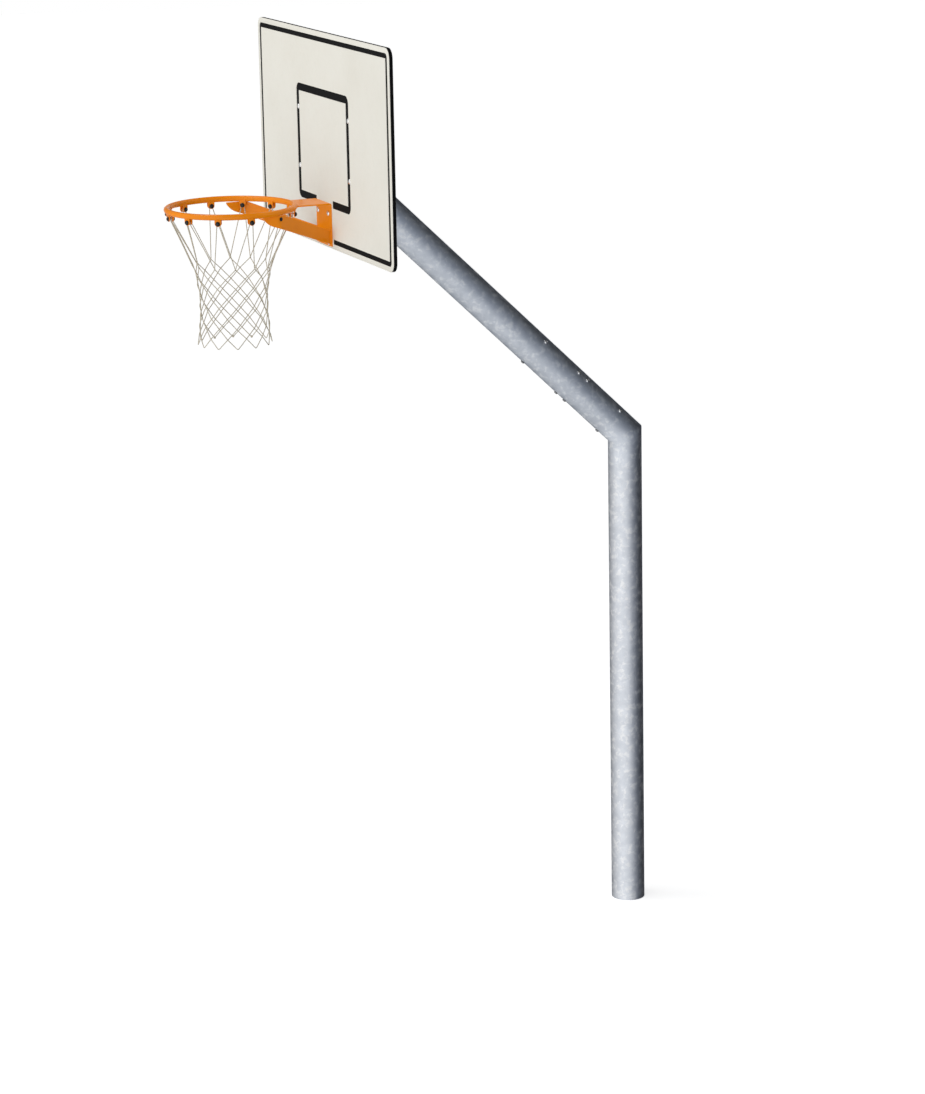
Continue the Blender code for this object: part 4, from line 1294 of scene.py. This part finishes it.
def build_net():
    """Three cords make the whole net.  Each goes up from a lower tip, crossing
    the others over and under, over a bolt and down again to the tip nine lugs
    further on, and meets its own beginning after four such rounds."""
    rnd = random.Random(7)
    jig = {}
    up = Vector((0, 0, 1))

    def node(deg, n, side):
        key = (round(deg) % 360, n)
        if key not in jig:
            jig[key] = (rnd.uniform(-0.35, 0.35), rnd.uniform(-0.0010, 0.0010), rnd.uniform(-0.0008, 0.0008))
        ja, jz, jr = jig[key]
        off = 0.0 if n == NET_ROWS else side * (1 if n % 2 else -1) * CORD_R
        return net_point(deg + ja, NET_Z0 + NET_DZ * n + jz, off + jr)

    rho = LUG_BOLT_R + CORD_R + 0.0003
    for g in range(3):
        path = []
        for lap in range(4):
            k = (9 + g + 9 * lap) % LUG_COUNT
            deg = 30 * k
            path += [node(deg - 15 - 15 * n, n, -1) for n in range(NET_ROWS, -1, -1)]
            a = radians(deg)
            e = Vector((cos(a), sin(a), 0))
            t = Vector((-e.y, e.x, 0))
            b = RING_O + e * 0.2330 - up * LUG_AXIS
            # over the bolt, and clear of the inner tab's lower edge
            low = b - up * 0.0118 - e * 0.0036
            left, right = low - t * (rho + 0.0006), low + t * (rho + 0.0006)
            over = [b + (t * cos(pi - pi * i / 14) + up * sin(pi * i / 14)) * rho for i in range(15)]
            after = node(deg + 15, 0, 1)
            path += [path[-1].lerp(left, 0.5) - e * 0.0012, left] + over
            path += [right, right.lerp(after, 0.5) - e * 0.0012, after]
            path += [node(deg + 15 + 15 * n, n, 1) for n in range(1, NET_ROWS)]
        path.append(path[0].copy())
        path = relax(dense(path, 0.0030), 3)
        bm = bmesh.new()
        length = twine(bm, path, CORD_R, phase=g * 0.7)
        print("net cord %d: %.3f m" % (g + 1, length))
        name = "net" if g == 0 else "net_cord_%d" % (g + 1)
        finish(bm, name, CORD, 70, stands_for=["net"])

        # the knot that ties the cord's two ends together at its tip
        c = path[0] + up * 0.0012
        a = radians(30 * (9 + g) - 135)
        out = Vector((cos(a), sin(a), 0))
        t = Vector((-out.y, out.x, 0))
        pts = []
        m = 56
        for i in range(m + 1):
            f = i / m
            w = 2 * pi * 2.2 * f + g
            grow = sin(pi * f) ** 0.4 if 0 < f < 1 else 0.0
            pts.append(c + up * ((f - 0.5) * 0.0062)
                       + (t * cos(w) * 1.10 + out * sin(w) * 0.95) * (CORD_R * (0.75 + 0.75 * grow)))
        bm = bmesh.new()
        twine(bm, pts, CORD_R, step=0.0010, phase=g)
        finish(bm, "net_knot_%d" % (g + 1), CORD, 70)


# ---------------------------------------------------------------- studio
# Broad soft lights all round: azimuth from the viewer's side, positive to its
# right, and elevation, in degrees; how narrow each one is; and its strength.
# The far side's fill, to the viewer's right, is cooler.
SOFT_LIGHT = (
    (0, -45, 5, 0.74), (0, 0, 5, 0.37),
    (-45, -35.26, 5, 0.41), (-45, 0, 5, 0.53), (-45, 35.26, 5, 0.40),
    (-90, -45, 5, 0.51), (-90, 0, 5, 0.44), (-90, 45, 5, 0.40),
    (-135, -35.26, 5, 0.40), (-130, -60, 9, 0.15), (-135, 35.26, 5, 0.19),
    (45, 35.26, 5, 0.285), (92, 44, 9, 0.060), (172, -14, 14, 2.6),
    (-60, -5, 28, 0.40), (-36, -5, 28, 0.45), (-12, -5, 28, 0.47), (12, -5, 28, 0.86),
    (-60, 18, 28, 0.05), (-36, 18, 28, 0.48), (-36, 42, 28, 0.38),
)
FAR_LIGHT = ((45, 0, 5, 0.135),)
FAR_TINT = (0.70, 0.94, 1.40)
SOFT_FLOOR = 0.004


def build_studio():
    scene = bpy.context.scene
    scene.view_settings.view_transform = 'Standard'
    scene.view_settings.look = 'None'
    scene.view_settings.exposure = 0.0
    scene.view_settings.gamma = 1.0

    world = bpy.data.worlds.new("studio")
    scene.world = world
    world.use_nodes = True
    w = Tree(world.node_tree)
    for nd in list(world.node_tree.nodes):
        world.node_tree.nodes.remove(nd)
    out = w.add('ShaderNodeOutputWorld')
    coord = w.add('ShaderNodeTexCoord')
    front = Vector((0.926, -0.377, 0.0))
    side = Vector((0.377, 0.926, 0.0))
    total = None
    cool = None
    for az, el, narrow, power in SOFT_LIGHT + FAR_LIGHT:
        far = (az, el, narrow, power) in FAR_LIGHT
        az, el = radians(az), radians(el)
        dot = w.add('ShaderNodeVectorMath', operation='DOT_PRODUCT')
        dot.inputs[1].default_value = (front * (cos(az) * cos(el)) + side * (sin(az) * cos(el))
                                       + Vector((0, 0, sin(el)))).normalized()
        w.link(coord.outputs['Generated'], dot.inputs[0])
        lobe = w.math('POWER', w.math('MAXIMUM', dot.outputs['Value'], 0.0), float(narrow))
        lobe = w.math('MULTIPLY', lobe, power)
        if far:
            cool = lobe if cool is None else w.math('ADD', cool, lobe)
        else:
            total = lobe if total is None else w.math('ADD', total, lobe)
    total = w.math('ADD', total, SOFT_FLOOR)
    white_part = w.add('ShaderNodeVectorMath', operation='SCALE')
    white_part.inputs[0].default_value = (1.0, 1.0, 1.0)
    w.link(total, white_part.inputs['Scale'])
    cool_part = w.add('ShaderNodeVectorMath', operation='SCALE')
    cool_part.inputs[0].default_value = FAR_TINT
    w.link(cool, cool_part.inputs['Scale'])
    both_parts = w.add('ShaderNodeVectorMath', operation='ADD')
    w.link(white_part.outputs[0], both_parts.inputs[0])
    w.link(cool_part.outputs[0], both_parts.inputs[1])
    soft = w.add('ShaderNodeBackground')
    soft.inputs['Strength'].default_value = 1.0
    w.link(both_parts.outputs[0], soft.inputs['Color'])
    white = w.add('ShaderNodeBackground')
    white.inputs['Color'].default_value = (1, 1, 1, 1)
    white.inputs['Strength'].default_value = 1.0
    path = w.add('ShaderNodeLightPath')
    both = w.add('ShaderNodeMixShader')
    w.link(path.outputs['Is Camera Ray'], both.inputs[0])
    w.link(soft.outputs[0], both.inputs[1])
    w.link(white.outputs[0], both.inputs[2])
    w.link(both.outputs[0], out.inputs[0])

    def area(name, at, look, size, power, colour=(1, 1, 1)):
        data = bpy.data.lights.new(name, 'AREA')
        data.shape = 'DISK'
        data.size = size
        data.energy = power
        data.color = colour
        ob = bpy.data.objects.new(name, data)
        scene.collection.objects.link(ob)
        at, look = Vector(at), Vector(look)
        ob.location = at
        ob.rotation_mode = 'QUATERNION'
        ob.rotation_quaternion = (look - at).to_track_quat('-Z', 'Y')
        return ob
    area("top", (-1.0, -3.2, 8.0), (0, -1.4, 2.9), 2.6, 100)

    # floor: pale, and bright enough to run into the white backdrop
    me = bpy.data.meshes.new("studio_floor")
    bm = bmesh.new()
    r = 40.0
    bm.faces.new([bm.verts.new((r * cos(2 * pi * i / 64), r * sin(2 * pi * i / 64), 0.0)) for i in range(64)])
    bm.to_mesh(me)
    bm.free()
    floor = bpy.data.objects.new("studio_floor", me)
    scene.collection.objects.link(floor)
    m, t, s = new_material("pale_floor", Specular_IOR_Level=0.0)
    grain = t.noise(t.coords(), 3.0, 2.0)
    t.link(t.mix(grain, (0.79, 0.79, 0.79), (0.81, 0.81, 0.81)), s['Base Color'])
    s['Roughness'].default_value = 0.9
    s['Emission Color'].default_value = (1, 1, 1, 1)
    s['Emission Strength'].default_value = 0.728
    me.materials.append(m)
    floor.visible_diffuse = False
    floor.visible_glossy = False
    floor.visible_shadow = False


make_camera()
build_post()
build_board()
build_head()
build_ring()
build_net_bolts()
build_net()

sleeve = NODES["splice_sleeve"]
sleeve.data.materials.clear()
sleeve.data.materials.append(GALV)

build_studio()
